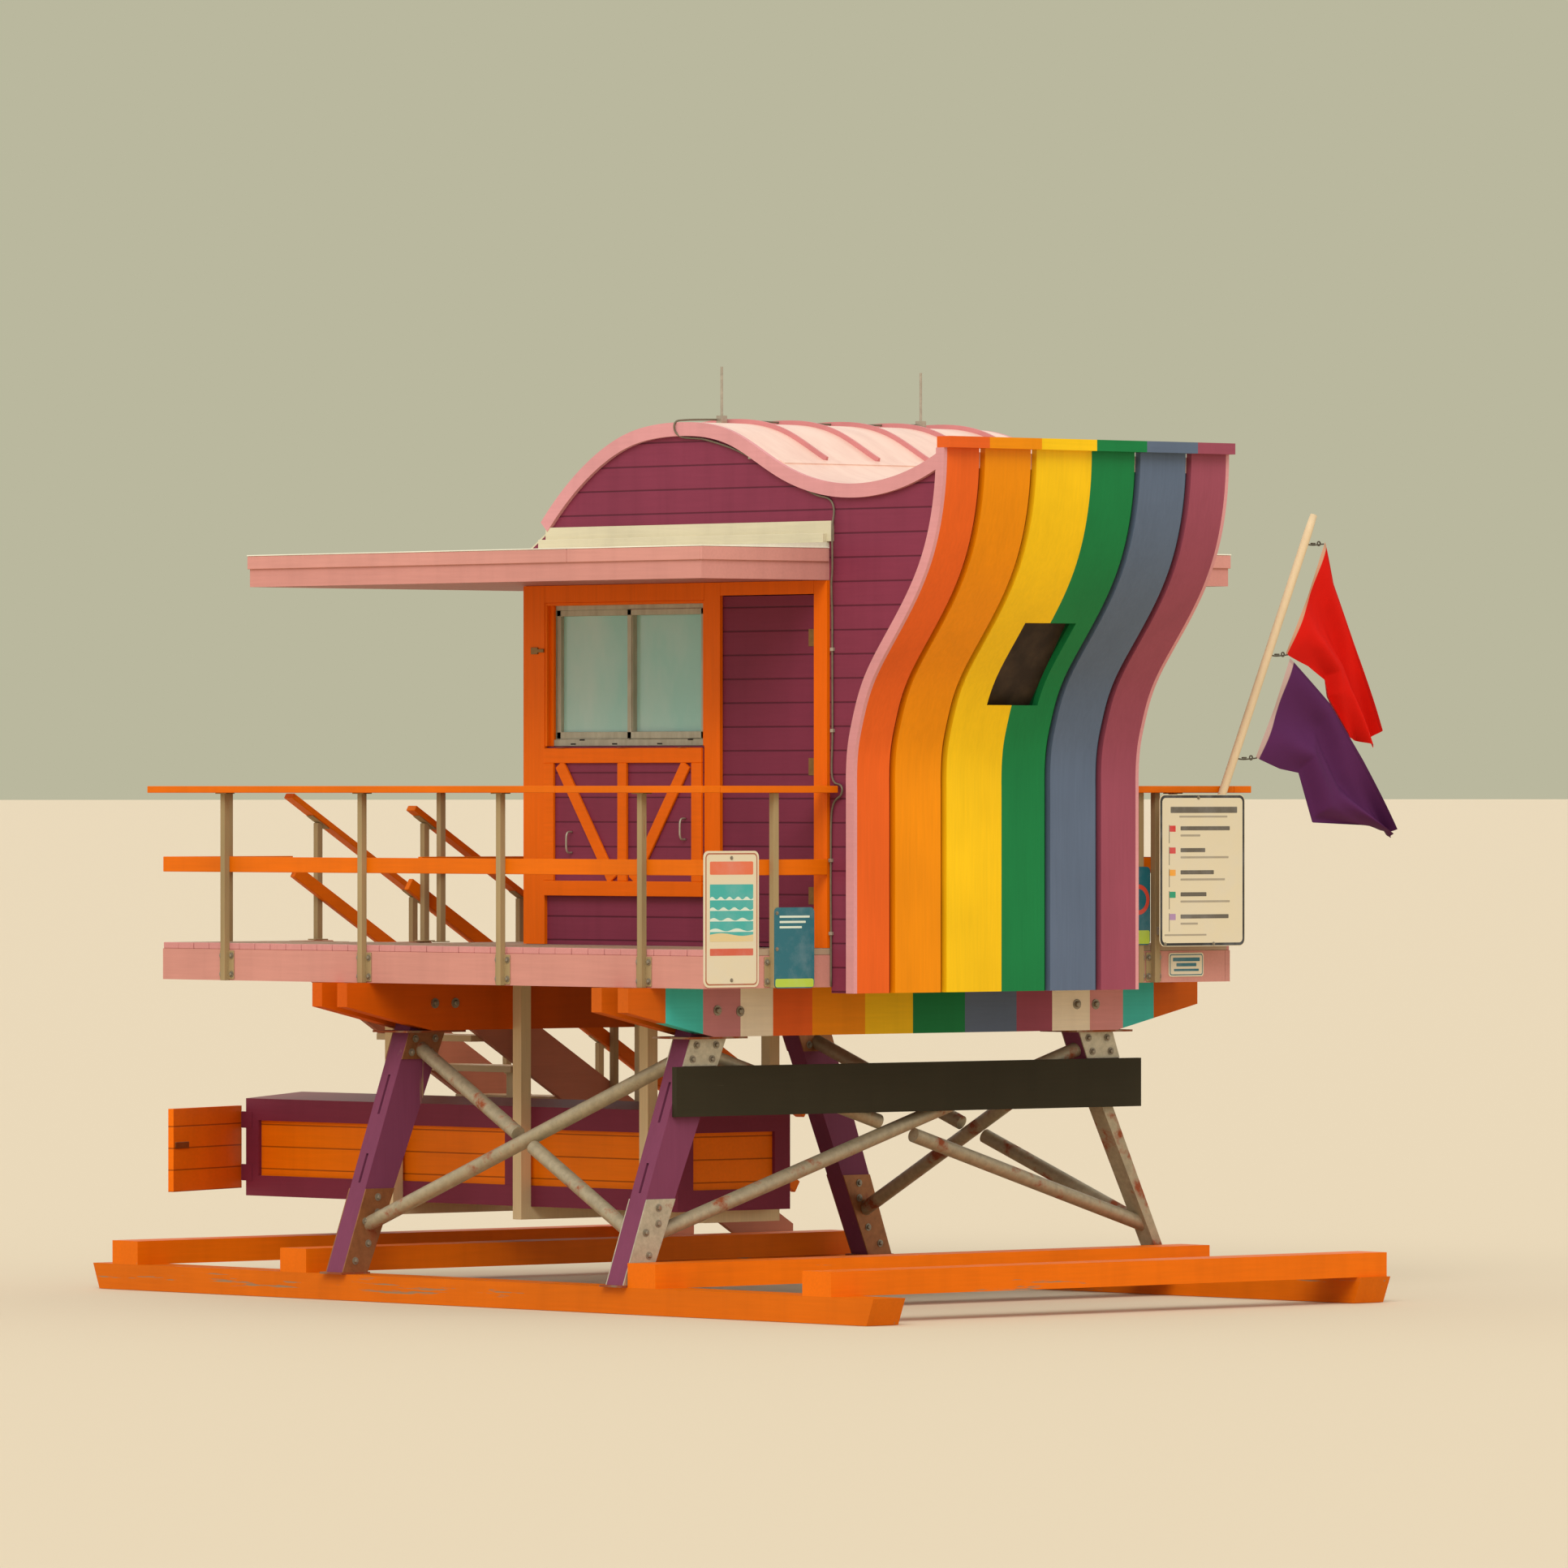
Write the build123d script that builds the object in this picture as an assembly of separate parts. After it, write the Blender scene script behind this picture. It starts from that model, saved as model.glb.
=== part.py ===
from build123d import *
import math
import os

# Lifeguard tower: a boarded cabin on a timber deck, on four splayed legs and two skids.
# Frame while modelling: X along the side wall from the ocean end of the deck to the land end,
# Y away from the near edge of the deck, Z up from the underside of the skids. Millimetres.

# Ground frame: two skids along X and four timbers laid across them
SKID_HEIGHT = 152
SKID_WIDTH = 240
SKID_OUT = 110          # outer faces of the skids beyond the deck edges
SKID_START = -530
SKID_NEAR_END = 1558    # beyond the deck's land end
SKID_FAR_END = 1233
SKID_NOSE = 60          # length of the worn slope at each end of a skid
TIMBER_HEIGHT = 140
TIMBER_WIDTH = 240
OCEAN_TIMBERS = (-345, 1235)    # low sides, from the deck's ocean end
LAND_TIMBERS = (-527, 963)      # low sides, from the deck's land end

# Deck
DECK_HEIGHT = 2080      # walking surface above the ground
DECK_LENGTH = 4877
DECK_WIDTH = 4142
BOARD = 38              # thickness of planks, joists and rim boards
JOIST_DEPTH = 184
JOIST_PITCH = 406
BUTT = 2                # open joint between boards that meet end to end
STAIRWELL = 1160        # clear length of the stairwell from the ocean end
WALKWAY = 976           # width of the walkway on each side of the cabin

# Main beams along Y, in two pairs that clasp the legs
BEAM_THICK = 89
BEAM_DEPTH = 285
BEAM_OUT = 170
BEAM_END_DEPTH = 140
BEAM_TAPER = 650
LEG_THICK = 140
OCEAN_PAIR = 1605
LAND_PAIR_IN = 772      # the land pair's first beam, in from the deck's land end
LAND_PAIR = DECK_LENGTH - LAND_PAIR_IN

# Legs, splayed sideways only
LEG_HEAD_WIDTH = 271    # level width below the beams
LEG_FOOT_WIDTH = 190    # level width at the foot
FAR_LEG_IN = 70         # the far legs stand this much further in
LEG_HEAD_IN = 380       # outer face below the beams, in from the deck edge
LEG_FOOT_OUT = 134      # outer face at the foot, out from the deck edge
FOOT_PLATE = 12
FOOT_PLATE_MARGIN = 45
FOOT_PLATE_SIDE = 15    # margin on both sides of the leg
FOOT_PLATE_LAND = 12      # margin on the land side, beside the cross timber
BRACKET_THICK = 8
HEAD_BRACKET = 168
BASE_BRACKET = 486
SLOT_WIDE = 20
SLOT_DEEP = 45
SLOT_SPANS = ((520, 690), (920, 1150))    # heights of the slots above the foot of a leg
STEEL_POST_TOP = -900   # the far land leg is a steel post below this height
STEEL_POST_DEEP = 120
STEEL_POST_HEAD = 88
STEEL_POST_FOOT = 60
STEEL_POST_OUT = 28     # its outer face at the foot, out from the deck's far edge
STEEL_POST_CUT = 60     # room on both sides of it where the braces stop
HEAD_PLATE = 12
HEAD_PLATE_MARGIN = 90
PIPE_RADIUS = 43
BRACE_HEAD_DROP = 80
BRACE_FOOT_RISE = 250
PIPE_GAP = 3            # saddle gap between the crossing pipes

# Cabin
CABIN_LENGTH = 2682
CABIN_START = DECK_LENGTH - CABIN_LENGTH
WALL = 100
DOOR_HEAD = 2030        # above the deck, also the foot of the gables
SKIRT_DROP = 256        # land wall and its side strips hang below the deck
SKIRT_START = DECK_LENGTH + 3
TRIM = 22               # thickness of the orange boards
CORNER_BOARD = 190
MIDDLE_BOARD = 136
END_BOARD = 113
WINDOW_SILL = 1162
WINDOW_HEAD = 2006
WINDOW_WIDTH = 1420
WINDOW_SETBACK = 60
WINDOW_FRAME = 45
WINDOW_FRAME_DEEP = 60
GLASS = 6
DOOR_THICK = 44
DOOR_WIDTH = 812
DOOR_GAP = 5
SHUTTER_WIDTH = 1400
SHUTTER_HEIGHT = 865
SHUTTER_TOP = 1152
SHUTTER_THICK = 40
HINGE_RADIUS = 6
HINGE_LENGTH = 100
HINGE_HEIGHTS = (300, 1040, 1780)
HINGE_GAP = 0.3         # running gap between a pin and its leaf

# Wave roof: outer points of its edge, X from the deck's land end and height above the deck
ROOF_LINE = ((-2523, 2479), (-2093, 2832), (-1753, 2985), (-1317, 3040), (-854, 2985),
             (-397, 2778), (183, 2656), (603, 2702), (981, 2846))
ROOF_THICK = 80
EDGE_BOARD = 25

# Striped land wall: outer face, X from the deck's land end and height above the deck, top down
WALL_CURVE = ((981, 2846), (965, 2600), (851, 2200), (695, 1945), (483, 1680),
              (331, 1450), (241, 1180), (221, 900))
STRIPE_THICK = 42
STRIPE_WIDTHS = (294, 400, 430, 385, 405, 276)    # shares of the cabin's width
STRIPE_NAMES = ("red", "orange", "yellow", "green", "blue", "mauve")
GROOVE = 46
GROOVELESS = "yellow"   # this stripe meets the next one with no groove
CAP_HEIGHT = 64
CAP_OUT = 52
CAP_DEEP = 110
PORTHOLE_WIDTH = 398
PORTHOLE_SILL = 1395
PORTHOLE_HEAD = 1865
PORTHOLE_ASIDE = 33     # its middle, beyond the middle of the tower

# Canopy on three sides of the cabin
CANOPY_LENGTH = 4042
CANOPY_END = DECK_LENGTH - 15
CANOPY_BOTTOM = 2108
CANOPY_EDGE_TOP = 2293
CANOPY_RISE = 32
FLASHING_FOOT = 2330
FLASHING_TOP = 2447
FLASHING_LENGTH = 2505
FLASHING_END = DECK_LENGTH + 23

# Railings
CAP_TOP = 930
CAP_THICK = 40
CAP_WIDTH = 140
CAP_OVERHANG = 40
POST = 40
MID_RAIL_FOOT = 420
MID_RAIL_DEEP = 90
POST_INS = (610, 1880, 3130, 4370)    # on a deck 4877 long
POST_DECK = 4877
LAND_POST = 520
LAND_FAR_POST = 756      # the first of a close pair, in from the deck's far edge
LAND_POST_PAIR = 130
LAND_FAR_POSTS = (DECK_WIDTH - LAND_FAR_POST, DECK_WIDTH - LAND_FAR_POST + LAND_POST_PAIR)
OCEAN_POST = 520
GUARD_END_POST = 592    # last post, in from the far edge of the deck
GUARD_POST_COUNT = 3
GUARD_FIRST_POST = 200  # first post, beyond the walkway

# Stair down in +Y through the stairwell
RISE = 189
GOING = 313
STEPS = 9
STRINGER_DEPTH = 286
STRINGER_SEAT = 180     # length of a stringer's foot on the far skid
TREAD_DEPTH = 286
STAIR_WIDTH = 960
STRINGER_RISE = 185     # top edge above the line of the tread edges
HANDRAIL_HEIGHT = 902
STAIR_MID_RAIL = 478
STAIR_CAP = 80          # width of the handrails
OCEAN_RAIL_START = 2    # start of the stair's ocean handrail, beyond the walkway
LAND_RAIL_START = 124   # start of its other handrail
STAIR_FIRST_POST = 221
STAIR_POST_PITCH = 750
STAIR_POST_COUNT = 4

# Storage locker under the deck
LOCKER_START = -662
LOCKER_IN = 1562        # its land end, in from the deck's land end
LOCKER_LENGTH = DECK_LENGTH - LOCKER_IN - LOCKER_START
LOCKER_FRONT = 1180
LOCKER_DEPTH = 879
LOCKER_TOP = -966       # lid's front edge, from the deck
LOCKER_HEIGHT = 590
LID_RIDGE = 33          # rise of the lid from its edges to its middle
LOCKER_WALL = 38
LOCKER_FRAME = 120
LOCKER_TOP_RAIL = 132
LOCKER_RAIL = 123
LOCKER_PANEL_INSET = 24
HATCH_THICK = 36
HATCH_MARGIN = 45
HATCH_OPEN = 203        # angle at which the hatch stands open
HATCH_GAP = 5
HATCH_HINGE_DROPS = (130, 450)  # from the locker's top down to the middle of each hinge
HATCH_LEAF = 60         # length of the hinge leaf on the locker's front
HATCH_LEAF_THICK = 3
HANGER = 76
HANGER_BEAM = OCEAN_PAIR + 2 * BEAM_THICK + LEG_THICK + HANGER / 2
LAND_HANGER_IN = 1779
HANGER_CENTRES = (783, HANGER_BEAM, DECK_LENGTH - LAND_HANGER_IN)

# Boards and signs on the land side
NAME_BOARD_LENGTH = 3658
NAME_BOARD_HEIGHT = 286
NAME_BOARD_TOP = -677
SIGN_THICK = 6

# Flagpole leaning sideways, with two flags
POLE_RADIUS = 25
# Places of the pole and flags: Y from the deck's far edge, and height above the deck
POLE_FOOT = (-558, 40)
POLE_TOP = (578, 2535)
FLAG_THICK = 8
RED_FLAG = ((672, 2377), (718, 2130), (1124, 1260), (1070, 1158), (874, 1231),
            (712, 1452), (688, 1560), (349, 1714))
PURPLE_FLAG = ((382, 1686), (691, 1418), (955, 1081), (1247, 674), (1226, 621),
               (1124, 694), (603, 714), (476, 1008), (315, 1032), (101, 1099))
FLAG_HOOKS = ((658, 2365), (362, 1706), (108, 1096))
HOOK_RADIUS = 4
HOOK_REACH = 20         # how far a hook runs on into the cloth
POLE_STRAP = 80         # height of the foot strap, from the deck
POLE_STRAP_IN = 636     # its start on the far post, in from the deck's far edge

# Lightning rods
ROD_SPACING = 1570
ROD_RADIUS = 8
ROD_HEIGHT = 330
ROD_BASE = 45
ROD_LIFT = 0.3          # the bases stand just clear of the curved crest

# Dependent places
SKID_TOP = SKID_HEIGHT
TIMBER_TOP = SKID_TOP + TIMBER_HEIGHT
JOIST_TOP = DECK_HEIGHT - BOARD
JOIST_FOOT = JOIST_TOP - JOIST_DEPTH
BEAM_FOOT = JOIST_FOOT - BEAM_DEPTH
CABIN_NEAR = WALKWAY
CABIN_FAR = DECK_WIDTH - WALKWAY
LEG_OCEAN = OCEAN_PAIR + BEAM_THICK
LEG_LAND = LAND_PAIR + BEAM_THICK
LEG_FOOT = SKID_TOP + FOOT_PLATE
MIDDLE = DECK_WIDTH / 2
CANOPY_START = CANOPY_END - CANOPY_LENGTH


def block(x0, x1, y0, y1, z0, z1):
    """A box between two corners."""
    return Pos((x0 + x1) / 2, (y0 + y1) / 2, (z0 + z1) / 2) * Box(x1 - x0, y1 - y0, z1 - z0)


def slab_xz(points, y0, y1):
    """A flat outline in X and Z, carried from y0 to y1."""
    outline = make_face(Polyline(*[(x, y0, z) for x, z in points], close=True))
    return extrude(outline, amount=y1 - y0, dir=(0, 1, 0))


def slab_yz(points, x0, x1):
    """A flat outline in Y and Z, carried from x0 to x1."""
    outline = make_face(Polyline(*[(x0, y, z) for y, z in points], close=True))
    return extrude(outline, amount=x1 - x0, dir=(1, 0, 0))


def mirrored(shape):
    """The same piece on the far side of the tower's middle plane."""
    return mirror(shape, about=Plane.XZ.offset(-MIDDLE))


def both_sides(pieces):
    """Pieces of the near side with their mirror images on the far side."""
    return pieces + [mirrored(piece) for piece in pieces]


# Skids and cross timbers
def skid(start, end, y0):
    """A timber along X whose ends are worn back to a slope from below."""
    outline = ((start, SKID_TOP), (start + SKID_NOSE, 0), (end - SKID_NOSE, 0), (end, SKID_TOP))
    return slab_xz(outline, y0, y0 + SKID_WIDTH)


def make_skids():
    near = skid(SKID_START, DECK_LENGTH + SKID_NEAR_END, -SKID_OUT)
    far = skid(SKID_START, DECK_LENGTH + SKID_FAR_END, DECK_WIDTH + SKID_OUT - SKID_WIDTH)
    return [near, far]


def make_cross_timbers():
    y0 = -SKID_OUT
    y1 = DECK_WIDTH + SKID_OUT
    starts = list(OCEAN_TIMBERS) + [DECK_LENGTH + x for x in LAND_TIMBERS]
    return [block(x, x + TIMBER_WIDTH, y0, y1, SKID_TOP, TIMBER_TOP) for x in starts]


# Legs, their plates and the pipe braces
LEG_SLOPE = (LEG_HEAD_IN + LEG_FOOT_OUT) / (BEAM_FOOT - LEG_FOOT)


def leg_face(z):
    """Y of the outer face of a near leg at a height."""
    return -LEG_FOOT_OUT + LEG_SLOPE * (z - LEG_FOOT)


def leg_back(z):
    """Y of the inner face of a near leg at a height; the leg narrows downwards."""
    share = (z - LEG_FOOT) / (BEAM_FOOT - LEG_FOOT)
    return leg_face(z) + LEG_FOOT_WIDTH + (LEG_HEAD_WIDTH - LEG_FOOT_WIDTH) * share


def far_leg_y(y):
    """Y on the far side for a place on a near leg."""
    return DECK_WIDTH - FAR_LEG_IN - y


def far_side(piece):
    """A near leg's piece carried to the far legs."""
    return Pos(0, -FAR_LEG_IN, 0) * mirrored(piece)


def at_all_legs(pieces):
    return pieces + [far_side(piece) for piece in pieces]


def leg_strip(x0, x1, z0, z1):
    """A piece that follows the near leg's slant between two heights."""
    outline = ((leg_face(z0), z0), (leg_back(z0), z0), (leg_back(z1), z1), (leg_face(z1), z1))
    return slab_yz(outline, x0, x1)


def leg_slots(x):
    """Two narrow slots cut into a leg's outer face."""
    x0 = x + (LEG_THICK - SLOT_WIDE) / 2
    slots = []
    for low, top in SLOT_SPANS:
        z0 = LEG_FOOT + low
        z1 = LEG_FOOT + top
        outline = ((leg_face(z0) - SLOT_DEEP, z0), (leg_face(z0) + SLOT_DEEP, z0),
                   (leg_face(z1) + SLOT_DEEP, z1), (leg_face(z1) - SLOT_DEEP, z1))
        slots.append(slab_yz(outline, x0, x0 + SLOT_WIDE))
    return slots


def make_legs():
    near = []
    for x in (LEG_OCEAN, LEG_LAND):
        leg = leg_strip(x, x + LEG_THICK, LEG_FOOT, JOIST_FOOT)
        for slot in leg_slots(x):
            leg = leg - slot
        near.append(leg)
    head = leg_strip(LEG_LAND, LEG_LAND + LEG_THICK, DECK_HEIGHT + STEEL_POST_TOP, JOIST_FOOT)
    return near + [far_side(near[0]), far_side(head)]


def steel_post(side):
    """The steel lower half of the far land leg, widened by a length on both sides."""
    top = DECK_HEIGHT + STEEL_POST_TOP
    head = far_leg_y(leg_back(top))
    foot = DECK_WIDTH + STEEL_POST_OUT
    outline = ((head - side, top), (foot - STEEL_POST_FOOT - side, LEG_FOOT),
               (foot + side, LEG_FOOT), (head + STEEL_POST_HEAD + side, top))
    x1 = LEG_LAND + LEG_THICK
    return slab_yz(outline, x1 - STEEL_POST_DEEP, x1)


def make_steel_post():
    return [steel_post(0)]


def make_head_plates():
    """Flat plates under the beam pairs, round the head of each leg."""
    plates = []
    for x in (LEG_OCEAN, LEG_LAND):
        y0 = leg_face(BEAM_FOOT) - HEAD_PLATE_MARGIN
        y1 = leg_back(BEAM_FOOT) + HEAD_PLATE_MARGIN
        plate = block(x - BEAM_THICK, x + LEG_THICK + BEAM_THICK, y0, y1, BEAM_FOOT - HEAD_PLATE, BEAM_FOOT)
        x0 = x - BRACKET_THICK
        x1 = x + LEG_THICK + BRACKET_THICK
        hole = leg_strip(x0, x1, BEAM_FOOT - 2 * HEAD_PLATE, JOIST_FOOT)
        plates.append(plate - hole)
    return at_all_legs(plates)


def make_foot_plates():
    plates = []
    for x in (LEG_OCEAN, LEG_LAND):
        y0 = leg_face(LEG_FOOT) - FOOT_PLATE_SIDE
        y1 = leg_back(LEG_FOOT) + FOOT_PLATE_SIDE
        x1 = x + LEG_THICK + FOOT_PLATE_LAND
        plates.append(block(x - FOOT_PLATE_MARGIN, x1, y0, y1, SKID_TOP, LEG_FOOT))
    return at_all_legs(plates)


def leg_plates(x, z0, z1):
    """The two side plates of a near leg between two heights."""
    return [leg_strip(x0, x0 + BRACKET_THICK, z0, z1) for x0 in (x - BRACKET_THICK, x + LEG_THICK)]


def make_leg_brackets():
    """Side plates at the head and the foot; the steel post has none at its foot."""
    brackets = []
    for x in (LEG_OCEAN, LEG_LAND):
        head = leg_plates(x, BEAM_FOOT - HEAD_BRACKET, BEAM_FOOT)
        foot = leg_plates(x, LEG_FOOT, LEG_FOOT + BASE_BRACKET)
        brackets += at_all_legs(head) + foot
        if x == LEG_OCEAN:
            brackets += [far_side(plate) for plate in foot]
    return brackets


def pipe(start, end, cut_start=0.0, cut_end=0.0):
    """A round pipe between two points, with each end shortened by a length."""
    start = Vector(*start)
    end = Vector(*end)
    along = (end - start).normalized()
    start = start + along * cut_start
    end = end - along * cut_end
    plane = Plane(origin=start, z_dir=along)
    return extrude(plane * Circle(PIPE_RADIUS), amount=(end - start).length)


def crossed_pipes(low_a, high_a, low_b, high_b):
    """One whole pipe, and a second one in two halves that stop beside it."""
    low_gap = (Vector(*low_b) - Vector(*low_a)).length
    high_gap = (Vector(*high_b) - Vector(*high_a)).length
    share = low_gap / (low_gap + high_gap)
    crossing = Vector(*low_b) + (Vector(*high_b) - Vector(*low_b)) * share
    along_a = (Vector(*high_a) - Vector(*low_a)).normalized()
    along_b = (Vector(*high_b) - Vector(*low_b)).normalized()
    turn = math.radians(along_a.get_angle(along_b))
    clear = (PIPE_RADIUS + PIPE_RADIUS * abs(math.cos(turn))) / math.sin(turn) + PIPE_GAP
    whole = pipe(low_a, high_a)
    lower = pipe(low_b, tuple(crossing), cut_end=clear)
    upper = pipe(tuple(crossing), high_b, cut_start=clear)
    return [whole, lower, upper]


def leg_middle(z):
    """Y of the middle of a near leg at a height."""
    return (leg_face(z) + leg_back(z)) / 2


BRACE_HEAD = BEAM_FOOT - BRACE_HEAD_DROP
BRACE_FOOT = LEG_FOOT + BRACE_FOOT_RISE


def cut_to_legs(pipes, post_side):
    """Pipes that end in the middle of the legs, cut back to the leg and bracket faces."""
    bodies = make_legs() + make_leg_brackets() + [steel_post(post_side)]
    for body in bodies:
        pipes = [piece - body for piece in pipes]
    return pipes


def make_side_braces():
    x0 = LEG_OCEAN + LEG_THICK / 2
    x1 = LEG_LAND + LEG_THICK / 2
    head = leg_middle(BRACE_HEAD)
    foot = leg_middle(BRACE_FOOT)
    near = crossed_pipes((x0, foot, BRACE_FOOT), (x1, head, BRACE_HEAD),
                         (x1, foot, BRACE_FOOT), (x0, head, BRACE_HEAD))
    return cut_to_legs(at_all_legs(near), STEEL_POST_CUT)


def make_land_braces():
    x = LEG_LAND + LEG_THICK / 2
    head = leg_middle(BRACE_HEAD)
    foot = leg_middle(BRACE_FOOT)
    far_head = far_leg_y(head)
    far_foot = far_leg_y(foot)
    pipes = crossed_pipes((x, foot, BRACE_FOOT), (x, far_head, BRACE_HEAD),
                          (x, far_foot, BRACE_FOOT), (x, head, BRACE_HEAD))
    return cut_to_legs(pipes, 0)


# Beams, joists, rims and decking
def beam(x0):
    """A beam along Y with both ends tapered from below."""
    y0 = -BEAM_OUT
    y1 = DECK_WIDTH + BEAM_OUT
    step = JOIST_FOOT - BEAM_END_DEPTH
    outline = ((y0, JOIST_FOOT), (y0, step), (y0 + BEAM_TAPER, BEAM_FOOT),
               (y1 - BEAM_TAPER, BEAM_FOOT), (y1, step), (y1, JOIST_FOOT))
    return slab_yz(outline, x0, x0 + BEAM_THICK)


def make_beams(pair):
    return [beam(pair), beam(pair + BEAM_THICK + LEG_THICK)]


def make_joists():
    joists = []
    bays = round((DECK_WIDTH - BOARD) / JOIST_PITCH)
    for k in range(1, bays):
        y = k * (DECK_WIDTH - BOARD) / bays
        inside_stairwell = y + BOARD > WALKWAY
        start = STAIRWELL + BOARD + BUTT if inside_stairwell else BOARD + BUTT
        joists.append(block(start, DECK_LENGTH - BOARD - BUTT, y, y + BOARD, JOIST_FOOT, JOIST_TOP))
    return joists


def make_rim_boards():
    low = JOIST_FOOT
    top = JOIST_TOP
    inner = BOARD + BUTT
    near = block(0, DECK_LENGTH, 0, BOARD, low, top)
    far = block(STAIRWELL, DECK_LENGTH, DECK_WIDTH - BOARD, DECK_WIDTH, low, top)
    land = block(DECK_LENGTH - BOARD, DECK_LENGTH, inner, DECK_WIDTH - inner, low, top)
    ocean = block(0, BOARD, inner, WALKWAY - inner, low, top)
    landing = block(0, STAIRWELL - BUTT, WALKWAY - BOARD, WALKWAY, low, top)
    well = block(STAIRWELL, STAIRWELL + BOARD, WALKWAY - BOARD, DECK_WIDTH - inner, low, top)
    return [near, far, land, ocean, landing, well]


def make_deck_boards():
    near = block(0, DECK_LENGTH, 0, WALKWAY - BUTT, JOIST_TOP, DECK_HEIGHT)
    porch = block(STAIRWELL, CABIN_START - BUTT, WALKWAY, CABIN_FAR, JOIST_TOP, DECK_HEIGHT)
    far = block(STAIRWELL, DECK_LENGTH, CABIN_FAR + BUTT, DECK_WIDTH, JOIST_TOP, DECK_HEIGHT)
    return [near, porch, far]


def make_cabin_floor():
    return [block(CABIN_START, DECK_LENGTH, CABIN_NEAR, CABIN_FAR, JOIST_TOP, DECK_HEIGHT)]


# Outlines of the wave roof and the curved land wall
def raised(points):
    """Points given from the deck's land end and its top, in the tower's own places."""
    return [Vector(DECK_LENGTH + x, 0, z + DECK_HEIGHT) for x, z in points]


ROOF_CURVE = Spline(*raised(ROOF_LINE))
LAND_CURVE = Spline(*raised(WALL_CURVE), tangents=((0, 0, -1), (0, 0, -1)))
SKIRT_FOOT = DECK_HEIGHT - SKIRT_DROP
ABOVE_ALL = DECK_HEIGHT + CANOPY_EDGE_TOP * 2
CURVE_SAMPLES = 17


def inward(curve, depth):
    """The curve moved square to itself by a depth, to the cabin's side."""
    points = []
    for k in range(CURVE_SAMPLES):
        place = k / (CURVE_SAMPLES - 1)
        along = curve % place
        points.append(curve @ place + Vector(along.Z, 0, -along.X) * depth)
    return Spline(*points)


def fill(edges, y0, y1):
    """A closed outline of edges in the plane of Y zero, carried from y0 to y1."""
    outline = Pos(0, y0, 0) * make_face(edges)
    return extrude(outline, amount=y1 - y0, dir=(0, 1, 0))


def joined(points):
    """Straight edges from point to point."""
    return [Line(a, b) for a, b in zip(points, points[1:])]


def roof_band(outer, inner, y0, y1):
    """The roof between two depths below its surface."""
    top = inward(ROOF_CURVE, outer)
    low = inward(ROOF_CURVE, inner)
    return fill([top, low, Line(top @ 0, low @ 0), Line(top @ 1, low @ 1)], y0, y1)


def wall_band(outer, inner, y0, y1, foot=SKIRT_FOOT):
    """The land wall between two depths behind its face."""
    front = inward(LAND_CURVE, outer)
    back = inward(LAND_CURVE, inner)
    front_foot = Vector((front @ 1).X, 0, foot)
    back_foot = Vector((back @ 1).X, 0, foot)
    sides = joined([front @ 1, front_foot, back_foot, back @ 1])
    return fill([front, back, Line(front @ 0, back @ 0)] + sides, y0, y1)


def under_roof(depth, y0, y1):
    """Everything below the roof at a depth, from the ocean wall on."""
    top = inward(ROOF_CURVE, depth)
    eave = Vector(CABIN_START, 0, DECK_HEIGHT + CANOPY_EDGE_TOP)
    corner = Vector(CABIN_START, 0, SKIRT_FOOT)
    beyond = Vector((top @ 1).X + WALL, 0, (top @ 1).Z)
    beyond_foot = Vector(beyond.X, 0, SKIRT_FOOT)
    sides = joined([top @ 1, beyond, beyond_foot, corner, eave, top @ 0])
    return fill([top] + sides, y0, y1)


def behind_wall(depth, y0, y1):
    """Everything on the cabin's side of the land wall at a depth."""
    face = inward(LAND_CURVE, depth)
    foot = Vector((face @ 1).X, 0, SKIRT_FOOT)
    head = Vector((face @ 0).X, 0, ABOVE_ALL)
    back = [Vector(0, 0, SKIRT_FOOT), Vector(0, 0, ABOVE_ALL)]
    sides = joined([face @ 1, foot] + back + [head, face @ 0])
    return fill([face] + sides, y0, y1)


def side_plate():
    """The near side wall's whole outline, from the skirt up to the roof."""
    inner = CABIN_NEAR + WALL
    return under_roof(ROOF_THICK, CABIN_NEAR, inner) & behind_wall(STRIPE_THICK, CABIN_NEAR, inner)


# Places along the near side wall
WINDOW_START = CABIN_START + CORNER_BOARD
WINDOW_END = WINDOW_START + WINDOW_WIDTH
DOOR_START = WINDOW_END + MIDDLE_BOARD
DOOR_END = DOOR_START + DOOR_WIDTH
GABLE_FOOT = DECK_HEIGHT + DOOR_HEAD
FAR_AWAY = DECK_LENGTH * 2


def window_hole(y0, y1):
    z0 = DECK_HEIGHT + WINDOW_SILL
    return block(WINDOW_START, WINDOW_END, y0, y1, z0, DECK_HEIGHT + WINDOW_HEAD)


def upper(shape):
    """The part of a wall above the gable's foot."""
    return shape & block(0, FAR_AWAY, 0, DECK_WIDTH, GABLE_FOOT, ABOVE_ALL)


def stretch(shape, x0, x1, z0):
    """The part of a wall between two places and below the gable."""
    return shape & block(x0, x1, 0, DECK_WIDTH, z0, GABLE_FOOT)


def make_near_window_bay():
    bay = stretch(side_plate(), CABIN_START, DOOR_START, DECK_HEIGHT)
    return [bay - window_hole(CABIN_NEAR - WALL, CABIN_NEAR + 2 * WALL)]


def side_strip(start):
    """The side wall's land end: from the deck beside it, and from its skirt past the deck."""
    over_deck = stretch(side_plate(), start, SKIRT_START, DECK_HEIGHT)
    past_deck = stretch(side_plate(), SKIRT_START, FAR_AWAY, SKIRT_FOOT)
    return over_deck + past_deck


def make_near_land_strip():
    return [side_strip(DOOR_END)]


def make_near_gable():
    return [upper(side_plate())]


def make_far_wall():
    low = stretch(side_plate(), CABIN_START, DOOR_END, DECK_HEIGHT)
    whole = low - window_hole(CABIN_NEAR - WALL, CABIN_NEAR + 2 * WALL)
    whole = whole + side_strip(DOOR_END)
    return [mirrored(whole)]


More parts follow.
